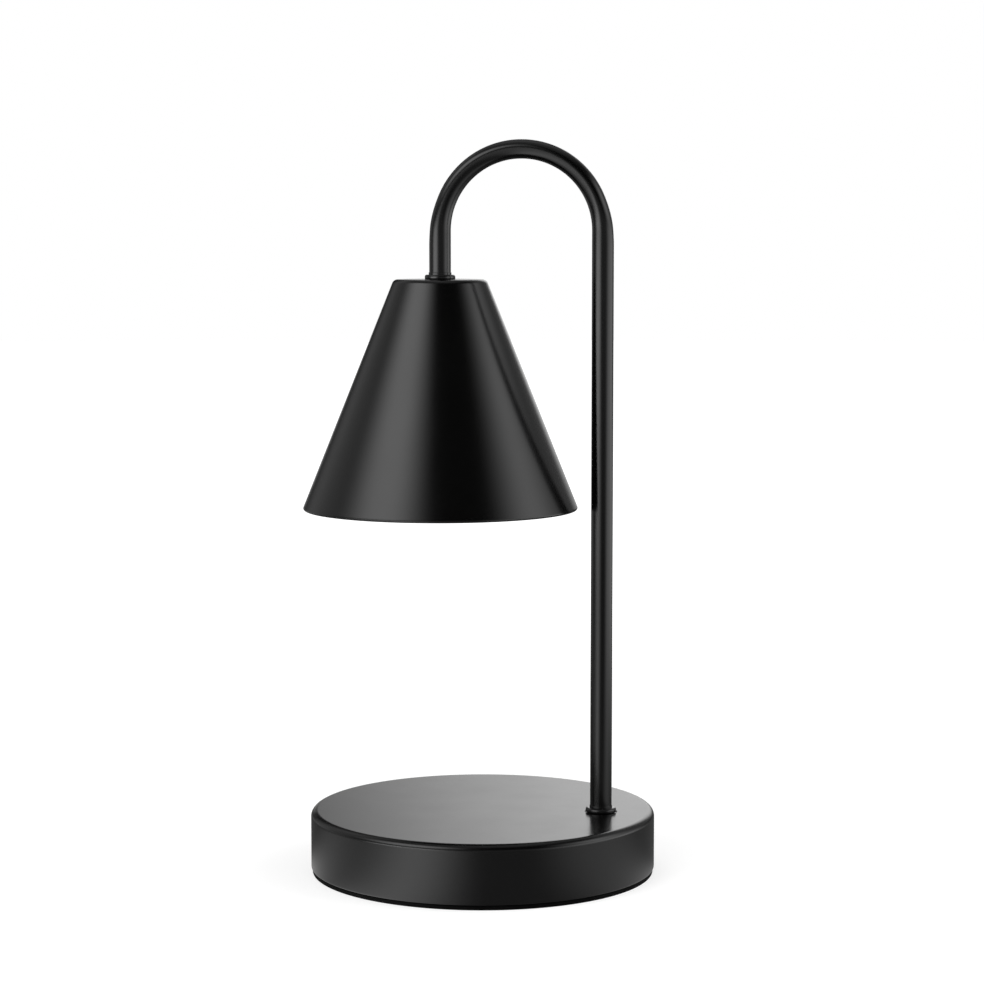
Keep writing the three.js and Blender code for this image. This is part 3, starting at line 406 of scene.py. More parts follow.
# %% Ceramic and nylon
def pale_body(name, clean, stained, rubbed, roughness, cell, depth):
    material, tree, shader = open_material(name)
    tone = use(tree, drift, "Value", Size=7 * MM)
    body = blend_colours(tree, tone, clean, stained)
    rub = use(tree, edge, "Mask", Width=0.5 * MM, Gain=1.2)
    tree.links.new(blend_colours(tree, rub, body, rubbed), shader.inputs["Base Color"])
    vary_roughness(tree, shader, 3 * MM, *roughness)
    bump(tree, shader, use(tree, grain, "Pores", Size=cell), depth)
    return material


ceramic = pale_body(
    "steatite", (0.8, 0.77, 0.7), (0.72, 0.68, 0.6), (0.6, 0.57, 0.52), (0.45, 0.62), 0.5 * MM, 0.015 * MM
)
nylon = pale_body(
    "natural_nylon", (0.78, 0.76, 0.68), (0.72, 0.69, 0.59), (0.84, 0.83, 0.78), (0.35, 0.5), 0.9 * MM,
    0.006 * MM,
)

# %% [markdown]
# ## Glass, silvered glass and wire
# Clear glass is the shader's plain transmission with a very slight ripple. The bowl of the bulb is pressed
# glass with a bright metal film behind it, which looks like a soft mirror. The wires have a coloured skin
# of soft plastic, a little glossier in some places than in others.

# %% Glass and silver
def clear_glass():
    material, tree, shader = open_material("clear_glass")
    shader.inputs["Base Color"].default_value = (0.97, 0.985, 0.98, 1)
    shader.inputs["Roughness"].default_value = 0.02
    shader.inputs["IOR"].default_value = 1.5
    shader.inputs["Transmission Weight"].default_value = 1.0
    bump(tree, shader, use(tree, grain, "Height", Size=9 * MM, Detail=1.0), 0.05 * MM)
    return material


def silvered():
    material, tree, shader = open_material("silvered_glass")
    tone = use(tree, drift, "Value", Size=9 * MM)
    body = blend_colours(tree, tone, (0.78, 0.79, 0.81), (0.86, 0.86, 0.84))
    tree.links.new(body, shader.inputs["Base Color"])
    shader.inputs["Metallic"].default_value = 1.0
    vary_roughness(tree, shader, 4 * MM, 0.06, 0.14)
    bump(tree, shader, use(tree, grain, "Height", Size=2 * MM), 0.01 * MM)
    return material


glass = clear_glass()
silver = silvered()

# %% Wire
def insulation(name, colour):
    material, tree, shader = open_material(name)
    tone = use(tree, drift, "Value", Size=6 * MM)
    darker = tuple(0.8 * c for c in colour)
    tree.links.new(blend_colours(tree, tone, colour, darker), shader.inputs["Base Color"])
    vary_roughness(tree, shader, 4 * MM, 0.3, 0.48)
    bump(tree, shader, use(tree, grain, "Height", Size=0.5 * MM), 0.004 * MM)
    return material


brown = insulation("brown_insulation", (0.16, 0.07, 0.035))
blue = insulation("blue_insulation", (0.03, 0.12, 0.4))
print("materials", len(bpy.data.materials))

# %% [markdown]
# ## Dress the solids that stay
# Screws, nuts, washers, nipples, brass, leads, ceramic and moulded blocks are small, flat or hidden. They
# keep their solids and only get a material. The ten pieces that show most, outside and in the bulb, are
# replaced by smooth skins in the cells that follow.

# %% Give the solids their materials
finish_of = {
    "cover_screw": zinc, "terminal_screw": zinc, "terminal_fixing_screw": zinc, "holder_screw": zinc,
    "base_nipple": zinc, "shade_nipple": zinc, "stem_washer": zinc, "shade_washer": zinc,
    "stem_nut": zinc, "shade_nut": zinc, "holder_bracket": zinc, "base_cover": zinc,
    "bulb_pin": zinc, "base_weight": iron, "terminal_barrel": brass, "contact": brass,
    "terminal_block": nylon, "lampholder_body": ceramic, "lampholder_cap": ceramic,
    "bulb_base": ceramic, "bulb_reflector": silver, "bulb_lens": glass, "bulb_capsule": glass,
    "lead_live": brown, "lead_neutral": blue, "base_shell": coat, "stem_tube": coat, "shade": coat,
    "base_collar": lacquer, "shade_collar": lacquer, "foot_pad": foam, "cord_grommet": rubber,
}


def family(node):
    return max((name for name in finish_of if node.startswith(name)), key=len)


for name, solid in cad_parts.items():
    solid.data.materials.clear()
    solid.data.materials.append(finish_of[family(name)])
print("dressed", len(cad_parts), "solids")

# %% [markdown]
# ## Turning a profile
# Most of this lamp is turned or spun: a profile goes round an axis. A lathe function builds the mesh
# directly: a ring of points for each point of the profile, one pole where the profile meets the axis, and
# faces between neighbours. Smooth shading would smear a long flat stretch into the rounding beside it, so
# support rings are added close to both ends of each long stretch.

# %% The lathe
FINE = 192  # sides of a large round piece
SUPPORT = 0.3 * MM  # from the end of a stretch to its support ring
LONG = 4 * SUPPORT  # only longer stretches get them
TINY = 1e-7  # points nearer than this are one
SHARP = math.radians(38)  # edges that turn by more aren't smoothed


def arc(r, z, radius, start, end, steps=10):
    angles = [math.radians(start + (end - start) * i / steps) for i in range(steps + 1)]
    return [(r + radius * math.cos(a), z + radius * math.sin(a)) for a in angles]


def supported(profile):
    points = [profile[0]]
    for here, there in zip(profile, profile[1:]):
        length = math.dist(here, there)
        if length > LONG:
            start, end = SUPPORT / length, 1 - SUPPORT / length
            for share in [start] * (here[0] > TINY) + [end] * (there[0] > TINY):
                points.append(tuple(a + (b - a) * share for a, b in zip(here, there)))
        if length > TINY:
            points.append(there)
    return points


def is_disc(rim, pole):
    return pole[0] < TINY and abs(pole[1] - rim[1]) < TINY


def new_piece(name, points, faces, material):
    mesh = bpy.data.meshes.new(name)
    mesh.from_pydata([tuple(p) for p in points], [], faces)
    form = bmesh.new()
    form.from_mesh(mesh)
    bmesh.ops.recalc_face_normals(form, faces=form.faces)
    form.to_mesh(mesh)
    form.free()
    mesh.materials.append(material)
    piece = add_object(name, mesh)
    smooth(piece)
    return piece


def smooth(piece, angle=SHARP):
    piece.data.shade_smooth()
    piece.data.set_sharp_from_angle(angle=angle)


def turn(name, profile, material, place=(0, 0), sides=FINE, lying=False):
    looped = math.dist(profile[0], profile[-1]) < TINY
    outline = supported(profile)
    first_disc, last_disc = is_disc(outline[1], outline[0]), is_disc(outline[-2], outline[-1])
    outline = outline[first_disc:len(outline) - (last_disc or looped)]
    points, rings = [], []
    for r, z in outline:
        count = 1 if r < TINY else sides
        rings.append(range(len(points), len(points) + count))
        for i in range(count):
            angle = 2 * math.pi * i / sides
            points.append(Vector((r * math.cos(angle), r * math.sin(angle), z)))
    faces = []
    for low, high in zip(rings, rings[1:] + rings[:1] if looped else rings[1:]):
        for i in range(sides):
            j = (i + 1) % sides
            corners = [low[i % len(low)], low[j % len(low)], high[j % len(high)], high[i % len(high)]]
            faces.append(list(dict.fromkeys(corners)))
    faces += [list(rings[0])] * first_disc + [list(rings[-1])] * last_disc
    if lying:
        points = [Vector((p.x, p.z, -p.y)) for p in points]
    offset = Vector((*place, 0)) if len(place) == 2 else Vector(place)
    return new_piece(name, [p + offset for p in points], faces, material)


# %% [markdown]
# ## The pan of the base
# The base is drawn from one disc of steel: a flat top, a three millimetre radius and a short upright side.
# Under the stem's collar a shallow round seat is pressed in, and a hole is punched in the rear wall for
# the cord. The pan is turned whole, and the seat and the hole are cut with boolean modifiers, which is how
# the press tool does it too: first the form, then the cuts. The modifiers are applied at once, and the
# level faces are shaded flat, so that the cuts don't bend the light on them.

# %% Cut one piece with another
def carve(piece, cutter):
    cut = piece.modifiers.new("cut", "BOOLEAN")
    cut.object = cutter
    cut.operation = "DIFFERENCE"
    cut.solver = "EXACT"
    graph = bpy.context.evaluated_depsgraph_get()
    mesh = bpy.data.meshes.new_from_object(piece.evaluated_get(graph))
    piece.modifiers.clear()
    piece.data = mesh
    bpy.data.objects.remove(cutter)
    smooth(piece)


# %% Draw the pan
PAN_WALL = 1.2 * MM
PAN_EDGE = 3 * MM
SEAT_DEPTH = 0.5 * MM
OVERRUN = 2 * MM  # of a cutter past the face that it cuts
RING_OVERHANG = 1.1 * MM  # of the cord ring's flanges over its neck
LEVEL = 0.99999  # upright share of the normal from which a face is level
pan_top = top_of("base_shell")
pan_foot = foot_of("base_shell")
seat_radius = radius_of("base_collar") + GAP


def draw_pan():
    lip = PAN_WALL / 2
    corner = base_radius - PAN_EDGE
    bend = pan_top - PAN_EDGE
    profile = [
        (0, pan_top),
        *arc(corner, bend, PAN_EDGE, 90, 0, 16),
        *arc(base_radius - lip, pan_foot + lip, lip, 0, -180, 8),
        *arc(corner, bend, PAN_EDGE - PAN_WALL, 0, 90, 8),
        (0, pan_top - PAN_WALL),
    ]
    return turn("base_pan", profile, coat)


def press_seat(pan):
    floor = pan_top - SEAT_DEPTH
    slant = SEAT_DEPTH / 2
    profile = [
        (0, floor),
        *arc(seat_radius - slant, floor + slant, slant, -90, 0, 4),
        *arc(seat_radius + slant, pan_top - slant + TINY, slant, 180, 90, 4),
        (seat_radius + slant, pan_top + OVERRUN),
        (0, pan_top + OVERRUN),
    ]
    carve(pan, turn("seat_tool", profile, coat, (stem_x, 0), 96))


def punch_inlet(pan):
    ring = middle("cord_grommet")
    hole = (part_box("cord_grommet")[1].x - ring.x) - RING_OVERHANG + GAP
    reach = 2 * PAN_WALL + OVERRUN
    profile = [(0, 0), (hole, 0), (hole, reach), (0, reach)]
    place = (0, base_radius - PAN_WALL - OVERRUN, ring.z)
    carve(pan, turn("inlet_tool", profile, coat, place, 64, lying=True))


def flatten_top(pan):
    flat = [face for face in pan.data.polygons if abs(face.normal.z) > LEVEL]
    for face in flat:
        face.use_smooth = False
    print("flat faces", len(flat))


base_pan = draw_pan()
press_seat(base_pan)
punch_inlet(base_pan)
flatten_top(base_pan)
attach(base_pan, "lamp")
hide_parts("base_shell")
print("pan faces", len(base_pan.data.polygons))

# %% [markdown]
# ## The foam foot and the rubber ring
# The foot is a disc of foam a little smaller than the pan, so a thin dark line shows under the steel. The
# ring in the rear wall is one rubber moulding with a flange on each side of the sheet. Both are turned,
# the ring about an axis that points to the rear.

# %% Foam foot
FOAM_NIP = 0.3 * MM  # rounding of the lower edge


def cut_foot():
    radius, foot, top = radius_of("foot_pad"), foot_of("foot_pad"), top_of("foot_pad")
    half = FOAM_NIP / 2
    profile = [
        (0, foot),
        *arc(radius - FOAM_NIP, foot + FOAM_NIP, FOAM_NIP, -90, 0, 4),
        *arc(radius - half, top - half, half, 0, 90, 3),
        (0, top),
    ]
    return turn("foam_foot", profile, foam)


foam_foot = cut_foot()
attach(foam_foot, "lamp")
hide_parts("foot_pad")
print("foot", round(top_of("foot_pad") / MM, 2), "mm thick")

# %% Rubber ring
RING_WALL = 1.2 * MM
RING_FLANGE = 1.8 * MM  # thickness of the inner flange
RING_CROWN = 0.8 * MM  # rounding of the outer flange


def mould_ring():
    low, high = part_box("cord_grommet")
    flange = (high.x - low.x) / 2
    neck = flange - RING_OVERHANG
    bore = neck - RING_WALL
    face, back = high.y, low.y
    inner = back + RING_FLANGE
    half = RING_CROWN / 2
    profile = [
        (bore, back),
        (flange - half, back),
        *arc(flange - half, inner - half, half, 0, 90, 4),
        (neck, inner),
        (neck, base_radius),
        (flange, base_radius),
        *arc(flange - RING_CROWN, face - RING_CROWN, RING_CROWN, 0, 90, 6),
        *arc(bore + RING_CROWN, face - RING_CROWN, RING_CROWN, 90, 180, 6),
        (bore, back),
    ]
    return turn("rubber_ring", profile, rubber, (0, 0, middle("cord_grommet").z), 72, lying=True)


rubber_ring = mould_ring()
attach(rubber_ring, "lamp")
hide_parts("cord_grommet")
print("ring faces", len(rubber_ring.data.polygons))

# %% [markdown]
# ## The crook
# One tube of 9.5 mm makes the whole stem. Where it is bent over a half circle, the outer wall stretches
# and draws in by about a millimetre, so the tube looks slimmer in the bend than in the legs. The skin is
# a row of rings along the path: each ring is round on its inner half and flattened on its outer half by
# an amount that ramps up from a little way down each leg. A curve with a bevel would be quicker, but its
# section couldn't change like that.

# %% Bend the tube
TUBE_RADIUS = 4.75 * MM
TUBE_WALL = 1.25 * MM
BEND_DRAW = 1.1 * MM
BEND_LEAD = 6.5 * MM  # how far down the legs it starts
BEND_SETTLE = 14 * MM  # how far round the bend it is full
LEAD_STEPS = 12
BEND_STEPS = 48
TUBE_SIDES = 48


def tube_ring(centre, out, radius, draw):
    ring = []
    for i in range(TUBE_SIDES):
        angle = 2 * math.pi * i / TUBE_SIDES
        reach = radius - draw if math.cos(angle) > 0 else radius
        ring.append(centre + out * reach * math.cos(angle) + Vector((0, radius * math.sin(angle), 0)))
    return ring


def ease(share):
    t = min(max(share, 0), 1)
    return t * t * (3 - 2 * t)


def crook_rings(radius, foot, tip):
    bend_radius = (stem_x - shade_x) / 2
    level = top_of("stem_tube") - bend_radius - TUBE_RADIUS + BEND_DRAW
    centre = Vector(((stem_x + shade_x) / 2, 0, level))
    quarter = math.pi * bend_radius / 2
    stops = [-BEND_LEAD * (1 - i / LEAD_STEPS) for i in range(LEAD_STEPS)]
    stops += [quarter * i / BEND_STEPS for i in range(BEND_STEPS + 1)]
    rings = []
    for x, side, end in ((stem_x, 1, foot), (shade_x, -1, tip)):
        leg = [tube_ring(Vector((x, 0, z)), Vector((side, 0, 0)), radius, 0) for z in (end, end + SUPPORT)]
        for along in stops:
            turned = max(along, 0) / bend_radius
            out = Vector((side * math.cos(turned), 0, math.sin(turned)))
            at = centre + out * bend_radius + Vector((0, 0, min(along, 0)))
            draw = BEND_DRAW * ease((along + BEND_LEAD) / (BEND_SETTLE + BEND_LEAD))
            leg.append(tube_ring(at, out, radius, draw))
        rings = leg if side > 0 else rings + leg[-2::-1]
    return rings


def bend_tube():
    foot, tip = foot_of("stem_tube"), top_of("shade") - SEAT_DEPTH + GAP
    outside = crook_rings(TUBE_RADIUS, foot, tip)
    inside = crook_rings(TUBE_RADIUS - TUBE_WALL, foot, tip)
    rings = outside + inside[::-1]
    points = [p for ring in rings for p in ring]
    faces = []
    for i in range(len(rings)):
        here, there = i * TUBE_SIDES, (i + 1) % len(rings) * TUBE_SIDES
        for j in range(TUBE_SIDES):
            k = (j + 1) % TUBE_SIDES
            faces.append([here + j, here + k, there + k, there + j])
    return new_piece("crook_tube", points, faces, coat)


crook_tube = bend_tube()
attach(crook_tube, "lamp")
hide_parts("stem_tube")
print("tube faces", len(crook_tube.data.polygons))

# %% [markdown]
# ## The collars
# Where the tube meets the base and the shade, a small turned collar hides the thread: a flange with a
# rounded rim and a thin lip that hugs the tube. They sit down in their pressed seats. The same profile
# serves both.

# %% Turn the collars
FLANGE = 2.25 * MM
FLANGE_ROUND = 0.9 * MM
LIP_WALL = 0.2 * MM
HUG = 0.05 * MM  # between the lip and the tube


def turn_collar(name, node):
    bore = TUBE_RADIUS + HUG
    rim, foot, top = radius_of(node), foot_of(node) - GAP, top_of(node)
    shelf = foot_of(node) + FLANGE
    lip = bore + LIP_WALL
    crest = LIP_WALL / 2
    under = SEAT_DEPTH + FLANGE_ROUND / 2
    profile = [
        (bore, foot),
        (rim - FLANGE_ROUND / 2, foot),
        *arc(rim - FLANGE_ROUND / 2, foot + under, FLANGE_ROUND / 2, -60, 0, 5),
        *arc(rim - FLANGE_ROUND, shelf - FLANGE_ROUND, FLANGE_ROUND, 0, 90, 10),
        (lip, shelf),
        *arc(lip - crest, top - crest, crest, 0, 90, 8),
        (bore, top),
        (bore, foot),
    ]
    collar = turn(name, profile, lacquer, (middle(node).x, 0), 96)
    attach(collar, "lamp")
    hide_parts(node)
    print(name, "faces", len(collar.data.polygons))


turn_collar("foot_collar", "base_collar")
turn_collar("neck_collar", "shade_collar")

# %% [markdown]
# ## The shade
# The shade is spun from sheet over a wooden cone. Its top is flat with a pressed seat, its upper edge is
# rounded, and its mouth is stiffened by an inward rolled hem. The side is one straight line from a corner
# in the plane of the top to the hem's circle, which it touches. The rounded edge is fitted into the corner.

# %% Spin the shade
SHADE_WALL = 0.8 * MM
SHADE_EDGE = 2.6 * MM
SHADE_HEM = 0.85 * MM
SHADE_CORNER = 20.3 * MM  # radius at which the side would meet the plane of the top
NIPPLE_HOLE = 4.3 * MM


def spin_shade():
    mouth, top = foot_of("shade"), top_of("shade")
    hem = (radius_of("shade") - SHADE_HEM, mouth + SHADE_HEM)
    run, fall = hem[0] - SHADE_CORNER, top - hem[1]
    slope = math.atan2(run, fall) + math.asin(SHADE_HEM / math.hypot(run, fall))
    lean = math.degrees(slope)
    edge_r = SHADE_CORNER - SHADE_EDGE / math.tan((math.pi / 2 + slope) / 2)
    edge_z = top - SHADE_EDGE
    sink = (SHADE_WALL - SHADE_HEM) / SHADE_HEM
    curl_end = lean + math.degrees(math.acos(-sink)) - 360
    floor = top - SEAT_DEPTH
    dish = seat_radius + SEAT_DEPTH / 2
    profile = [
        (NIPPLE_HOLE, floor),
        (seat_radius, floor),
        (dish, top),
        *arc(edge_r, edge_z, SHADE_EDGE, 90, lean, 14),
        *arc(*hem, SHADE_HEM, lean, curl_end, 20),
        *arc(edge_r, edge_z, SHADE_EDGE - SHADE_WALL, lean, 90, 8),
        (dish + SHADE_WALL, top - SHADE_WALL),
        (seat_radius + SHADE_WALL, floor - SHADE_WALL),
        (NIPPLE_HOLE, floor - SHADE_WALL),
        (NIPPLE_HOLE, floor),
    ]
    print("shade leans", round(lean, 2), "degrees")
    return turn("spun_shade", profile, coat, (shade_x, 0), 256)


spun_shade = spin_shade()
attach(spun_shade, "lamp")
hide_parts("shade")

# %% [markdown]
# ## The bulb
# The bulb is a pressed glass bowl with a silver film, closed by a flat lens and cemented into a ceramic
# foot with two headed pins. Inside the bowl stands a small glass burner with a coiled filament. The bowl's
# inner face is pressed in rings of little facets, which spread the light. All of it turns with the pins,
# so these pieces ride on the body that the twist moves.

# %% Press the bowl
BOWL_WALL = 1.5 * MM
RIM_STEP = 1 * MM
RIM_HEIGHT = 2.6 * MM
RIM_WALL = 1.4 * MM
NECK_RADIUS = 8.6 * MM
FACET_RINGS = 9
FACET_STEPS = 6  # points of the profile to a ring of facets
FACETS = 32
FACET_DEPTH = 0.35 * MM
FACET_SHARP = math.radians(60)


def bowl_line(wall, steps):
    rim_top = foot_of("bulb_reflector") + RIM_HEIGHT
    wide = radius_of("bulb_reflector") - RIM_STEP
    full = (foot_of("bulb_base") - rim_top) / math.sqrt(1 - (NECK_RADIUS / wide) ** 2) - wall
    last = math.acos((NECK_RADIUS - wall) / (wide - wall))
    angles = [last * i / steps for i in range(steps + 1)]
    return [((wide - wall) * math.cos(a), rim_top + full * math.sin(a)) for a in angles]


def press_bowl():
    rim, foot, neck_top = radius_of("bulb_reflector"), foot_of("bulb_reflector"), top_of("bulb_reflector")
    outside = bowl_line(0, 24)
    inside = bowl_line(BOWL_WALL, FACET_RINGS * FACET_STEPS)
    profile = [
        (rim - RIM_WALL, foot),
        (rim - RIM_STEP / 4, foot),
        (rim, foot + RIM_STEP / 4),
        (rim, foot + RIM_HEIGHT),
        *outside,
        (outside[-1][0], neck_top),
        (outside[-1][0] - BOWL_WALL, neck_top),
        *inside[::-1],
        (rim - RIM_WALL, inside[0][1] - RIM_STEP),
        (rim - RIM_WALL, foot),
    ]
    bowl = turn("reflector_bowl", profile, silver, (shade_x, 0))
    dimple(bowl, inside)
    return bowl


# Moves only the points of the inner face
def dimple(bowl, inside):
    first, last = inside[0][1], inside[-1][1]
    for vertex in bowl.data.vertices:
        across = Vector((vertex.co.x - shade_x, vertex.co.y))
        share = (vertex.co.z - first) / (last - first)
        rise = math.asin(min(max(share, 0), 1)) / (math.pi / 2)
        skin = (inside[0][0] - across.length) if share < 0.5 else TINY
        near = min(inside, key=lambda p: abs(p[1] - vertex.co.z))
        if share < 0 or share > 1 or skin < 0 or abs(near[0] - across.length) > BOWL_WALL / 2:
            continue
        angle = math.atan2(across.y, across.x)
        swell = abs(math.sin(angle * FACETS / 2) * math.sin(rise * FACET_RINGS * math.pi))
        shrink = 1 - FACET_DEPTH * swell / across.length
        vertex.co.x = shade_x + across.x * shrink
        vertex.co.y = across.y * shrink
    smooth(bowl, FACET_SHARP)


reflector_bowl = press_bowl()
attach(reflector_bowl, "bulb")
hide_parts("bulb_reflector")
print("bowl points", len(reflector_bowl.data.vertices))

# %% Lens and burner
LENS_NIP = 0.3 * MM  # rounding of its edges
BURNER_SLIM = 0.96  # of the solid's radius
BURNER_TIP = 0.7 * MM
PINCH_START = 0.62  # of the burner's height
PINCH_LENGTH = 2.5 * MM
PINCH_DEPTH = 0.55  # of the burner's breadth


def grind_lens():
    radius, foot, top = radius_of("bulb_lens"), foot_of("bulb_lens"), top_of("bulb_lens")
    profile = [
        (0, foot),
        *arc(radius - LENS_NIP, foot + LENS_NIP, LENS_NIP, -90, 0, 5),
        *arc(radius - LENS_NIP, top - LENS_NIP, LENS_NIP, 0, 90, 5),
        (0, top),
    ]
    return turn("bulb_window", profile, glass, (shade_x, 0), 128)


def blow_burner():
    radius = radius_of("bulb_capsule") * BURNER_SLIM
    foot, top = foot_of("bulb_capsule"), top_of("bulb_capsule")
    profile = [
        (0, foot),
        *arc(BURNER_TIP, foot + BURNER_TIP / 2, BURNER_TIP / 2, -90, 0, 3),
        *arc(0, foot + BURNER_TIP + radius, radius, -75, 0, 12),
        (radius, top),
        (0, top),
    ]
    burner = turn("glass_burner", profile, glass, (shade_x, 0), 64)
    pinch = foot + (top - foot) * PINCH_START
    for vertex in burner.data.vertices:
        share = ease((vertex.co.z - pinch) / PINCH_LENGTH)
        vertex.co.y *= 1 - PINCH_DEPTH * share
    return burner


bulb_window = grind_lens()
glass_burner = blow_burner()
for piece, node in ((bulb_window, "bulb_lens"), (glass_burner, "bulb_capsule")):
    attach(piece, "bulb")
    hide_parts(node)
    print(piece.name, "faces", len(piece.data.polygons))

# %% [markdown]
# ## The filament
# The filament is a coil of tungsten wire across the burner. It is a helix, written as a formula, and swept
# with a small round section by a curve with a bevel. The curve is turned into a mesh, so that it is kept
# as a solid form.

# %% Wind the filament
WIRE = 0.12 * MM  # radius
COIL_RADIUS = 0.75 * MM
COIL_TURNS = 9
COIL_LENGTH = 5 * MM
COIL_STEPS = 16  # points to a turn
COIL_HEIGHT = 0.36  # of the burner's height
LEG_END = 6 * MM  # below the burner's top


def wind_filament():
    foot, top = foot_of("bulb_capsule"), top_of("bulb_capsule")
    coil_z = foot + (top - foot) * COIL_HEIGHT
    route = [Vector((shade_x - COIL_LENGTH / 2, 0, top - LEG_END))]
    steps = COIL_TURNS * COIL_STEPS
    for i in range(steps + 1):
        angle = 2 * math.pi * i / COIL_STEPS
        along = (i / steps - 0.5) * COIL_LENGTH
        ring = Vector((0, math.sin(angle), math.cos(angle))) * COIL_RADIUS
        route.append(Vector((shade_x + along, 0, coil_z)) + ring)
    route.append(Vector((shade_x + COIL_LENGTH / 2, 0, top - LEG_END)))
    data = bpy.data.curves.new("filament_line", "CURVE")
    data.dimensions = "3D"
    line = data.splines.new("POLY")
    line.points.add(len(route) - 1)
    for point, place in zip(line.points, route):
        point.co = (*place, 1)
    data.bevel_depth = WIRE
    data.bevel_resolution = 2
    data.use_fill_caps = True
    curve = add_object("filament_line", data)
    graph = bpy.context.evaluated_depsgraph_get()
    mesh = bpy.data.meshes.new_from_object(curve.evaluated_get(graph))
    bpy.data.objects.remove(curve)
    mesh.materials.clear()
    mesh.materials.append(tungsten)
    filament = add_object("filament", mesh)
    smooth(filament)
    return filament


filament = wind_filament()
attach(filament, "bulb")
print("filament faces", len(filament.data.polygons))

# %% [markdown]
# ## What the coat sees
# A satin black surface has hardly any colour. It shows a dim, soft mirror image of the studio. So the
# lamp stands in a tent of cloth, as shiny things do when they are photographed, and soft pools of light
# fall on the cloth: two on the left, two on the right and two behind. Fainter ones in front, overhead and
# towards the rear serve the other views. Each pool is given by its direction and its height, each with a
# half width and the width of its fading edge, and by its brightness. Between them the cloth is dark, and
# that keeps the middle of the cone and of the tube black. Directions are in degrees from the camera's
# side, positive to its right, and heights are in degrees above the horizon.

# %% Pools of light
AIM = Vector((0, 0, 160 * MM))  # half way up the lamp
CLOTH = 0.025  # brightness between the pools
POOLS = (  # azimuth, half width, fade, height, half height, fade, brightness
    (-55, 28, 42, 37, 14, 16, 2.8),
    (-52, 24, 32, 0, 5, 8, 4.8),
    (86, 22, 44, 25, 14, 16, 1.8),
    (82, 34, 42, -3, 11, 14, 2.0),
    (169, 13, 16, 15, 12, 10, 1.6),
    (180, 16, 14, 0, 4, 8, 0.8),
    (10, 30, 30, 2, 12, 10, 0.25),
    (0, 190, 20, 84, 24, 24, 0.3),
    (-118, 26, 30, 20, 30, 20, 0.35),
    (134, 20, 24, 26, 22, 24, 0.2),
    (180, 60, 50, 62, 28, 30, 0.2),
)
NEAR_FLOOR = (  # azimuth, half width, fade, brightness of the floor close to the lamp
    (0, 100, 50, 0.1),
    (-35, 18, 36, 1.45),
    (-80, 22, 30, 0.35),
    (62, 23, 36, 0.42),
)
FAR_FLOOR = (  # the same, further out
    (-40, 23, 38, 1.3),
    (85, 40, 44, 1.7),
    (-128, 26, 40, 0.35),
)
FLOOR_GREY = 0.1
FAR = 1.1  # metres from the base's side to where it is reached


def toward(azimuth):
    angle = CAMERA_TURN - math.pi / 2 + math.radians(azimuth)
    return Vector((math.cos(angle), math.sin(angle), 0))


def aloft(azimuth, height):
    rise = math.radians(height)
    return toward(azimuth) * math.cos(rise) + Vector((0, 0, math.sin(rise)))


def azimuth_of(point):
    turned = math.degrees(math.atan2(point.y, point.x) - CAMERA_TURN) + 90
    return (turned + 180) % 360 - 180


def within(value, centre, half, fade):
    apart = abs((value - centre + 180) % 360 - 180)
    return ease((half + fade / 2 - apart) / fade)


def cloth_glow(point):
    azimuth = azimuth_of(point)
    height = math.degrees(math.atan2(point.z - AIM.z, math.hypot(point.x, point.y)))
    pools = (p[6] * within(azimuth, *p[:3]) * within(height, *p[3:6]) for p in POOLS)
    return CLOTH + sum(pools)


def floor_glow(point):
    azimuth = azimuth_of(point)
    near = sum(p[3] * within(azimuth, *p[:3]) for p in NEAR_FLOOR)
    far = sum(p[3] * within(azimuth, *p[:3]) for p in FAR_FLOOR)
    share = ease((math.hypot(point.x, point.y) - base_radius) / FAR)
    return FLOOR_GREY + near + (far - near) * share


azimuth, height = POOLS[0][0], POOLS[0][3]
print("pools", len(POOLS), "cloth in the first", round(cloth_glow(AIM + aloft(azimuth, height)), 2))

# %% [markdown]
# ## The tent
# The tent is half a sphere. Its glow is worked out at each of its points, stored there, and read by an
# attribute node. Only mirror images see it: the camera, the light and the shadows go through.

# %% Pitch the tent
TENT_RADIUS = 2.6  # metres
TENT_STEP = 4  # degrees
TENT_VENT = 0.2  # of a row, left open at the top


def grid(rings, around):
    faces = []
    for low in range(rings - 1):
        for i in range(around):
            j = (i + 1) % around
            a, b = low * around, (low + 1) * around
            faces.append([a + i, a + j, b + j, b + i])
    return faces


def glowing(name, points, faces, material, glow):
    piece = new_piece(name, points, faces, material)
    stored = piece.data.attributes.new("glow", "FLOAT", "POINT")
    stored.data.foreach_set("value", [glow(Vector(p)) for p in points])
    return piece


def stored_glow(tree):
    return put(tree, "ShaderNodeAttribute", attribute_name="glow").outputs["Fac"]


def pitch_tent():
    material, tree, shader = open_material("tent_cloth")
    tree.nodes.remove(shader)
    cloth = put(tree, "ShaderNodeEmission", {"Strength": stored_glow(tree)})
    tree.links.new(cloth.outputs[0], tree.nodes["Material Output"].inputs["Surface"])
    material.cycles.emission_sampling = "NONE"
    around, rows = 360 // TENT_STEP, 90 // TENT_STEP
    points = []
    for row in range(rows + 1):
        height = 90 * row / (rows + TENT_VENT)
        points += [aloft(i * TENT_STEP, height) * TENT_RADIUS for i in range(around)]
    tent = glowing("tent", points, grid(rows + 1, around), material, cloth_glow)
    for rays in ("camera", "diffuse", "transmission", "shadow", "volume_scatter"):
        setattr(tent, "visible_" + rays, False)
    print("tent points", len(points))


pitch_tent()

# %% [markdown]
# ## The floor
# The lamp stands on a plain pale floor that runs out into white. The camera sees the floor's own soft
# shadow, lifted by a glow that it sees straight or through glass, so that the open floor is white. Mirror
# images see the pools of light on it. From below the floor is clear, and it has a hole under the foot, so
# that the underside can be looked at and gets light.

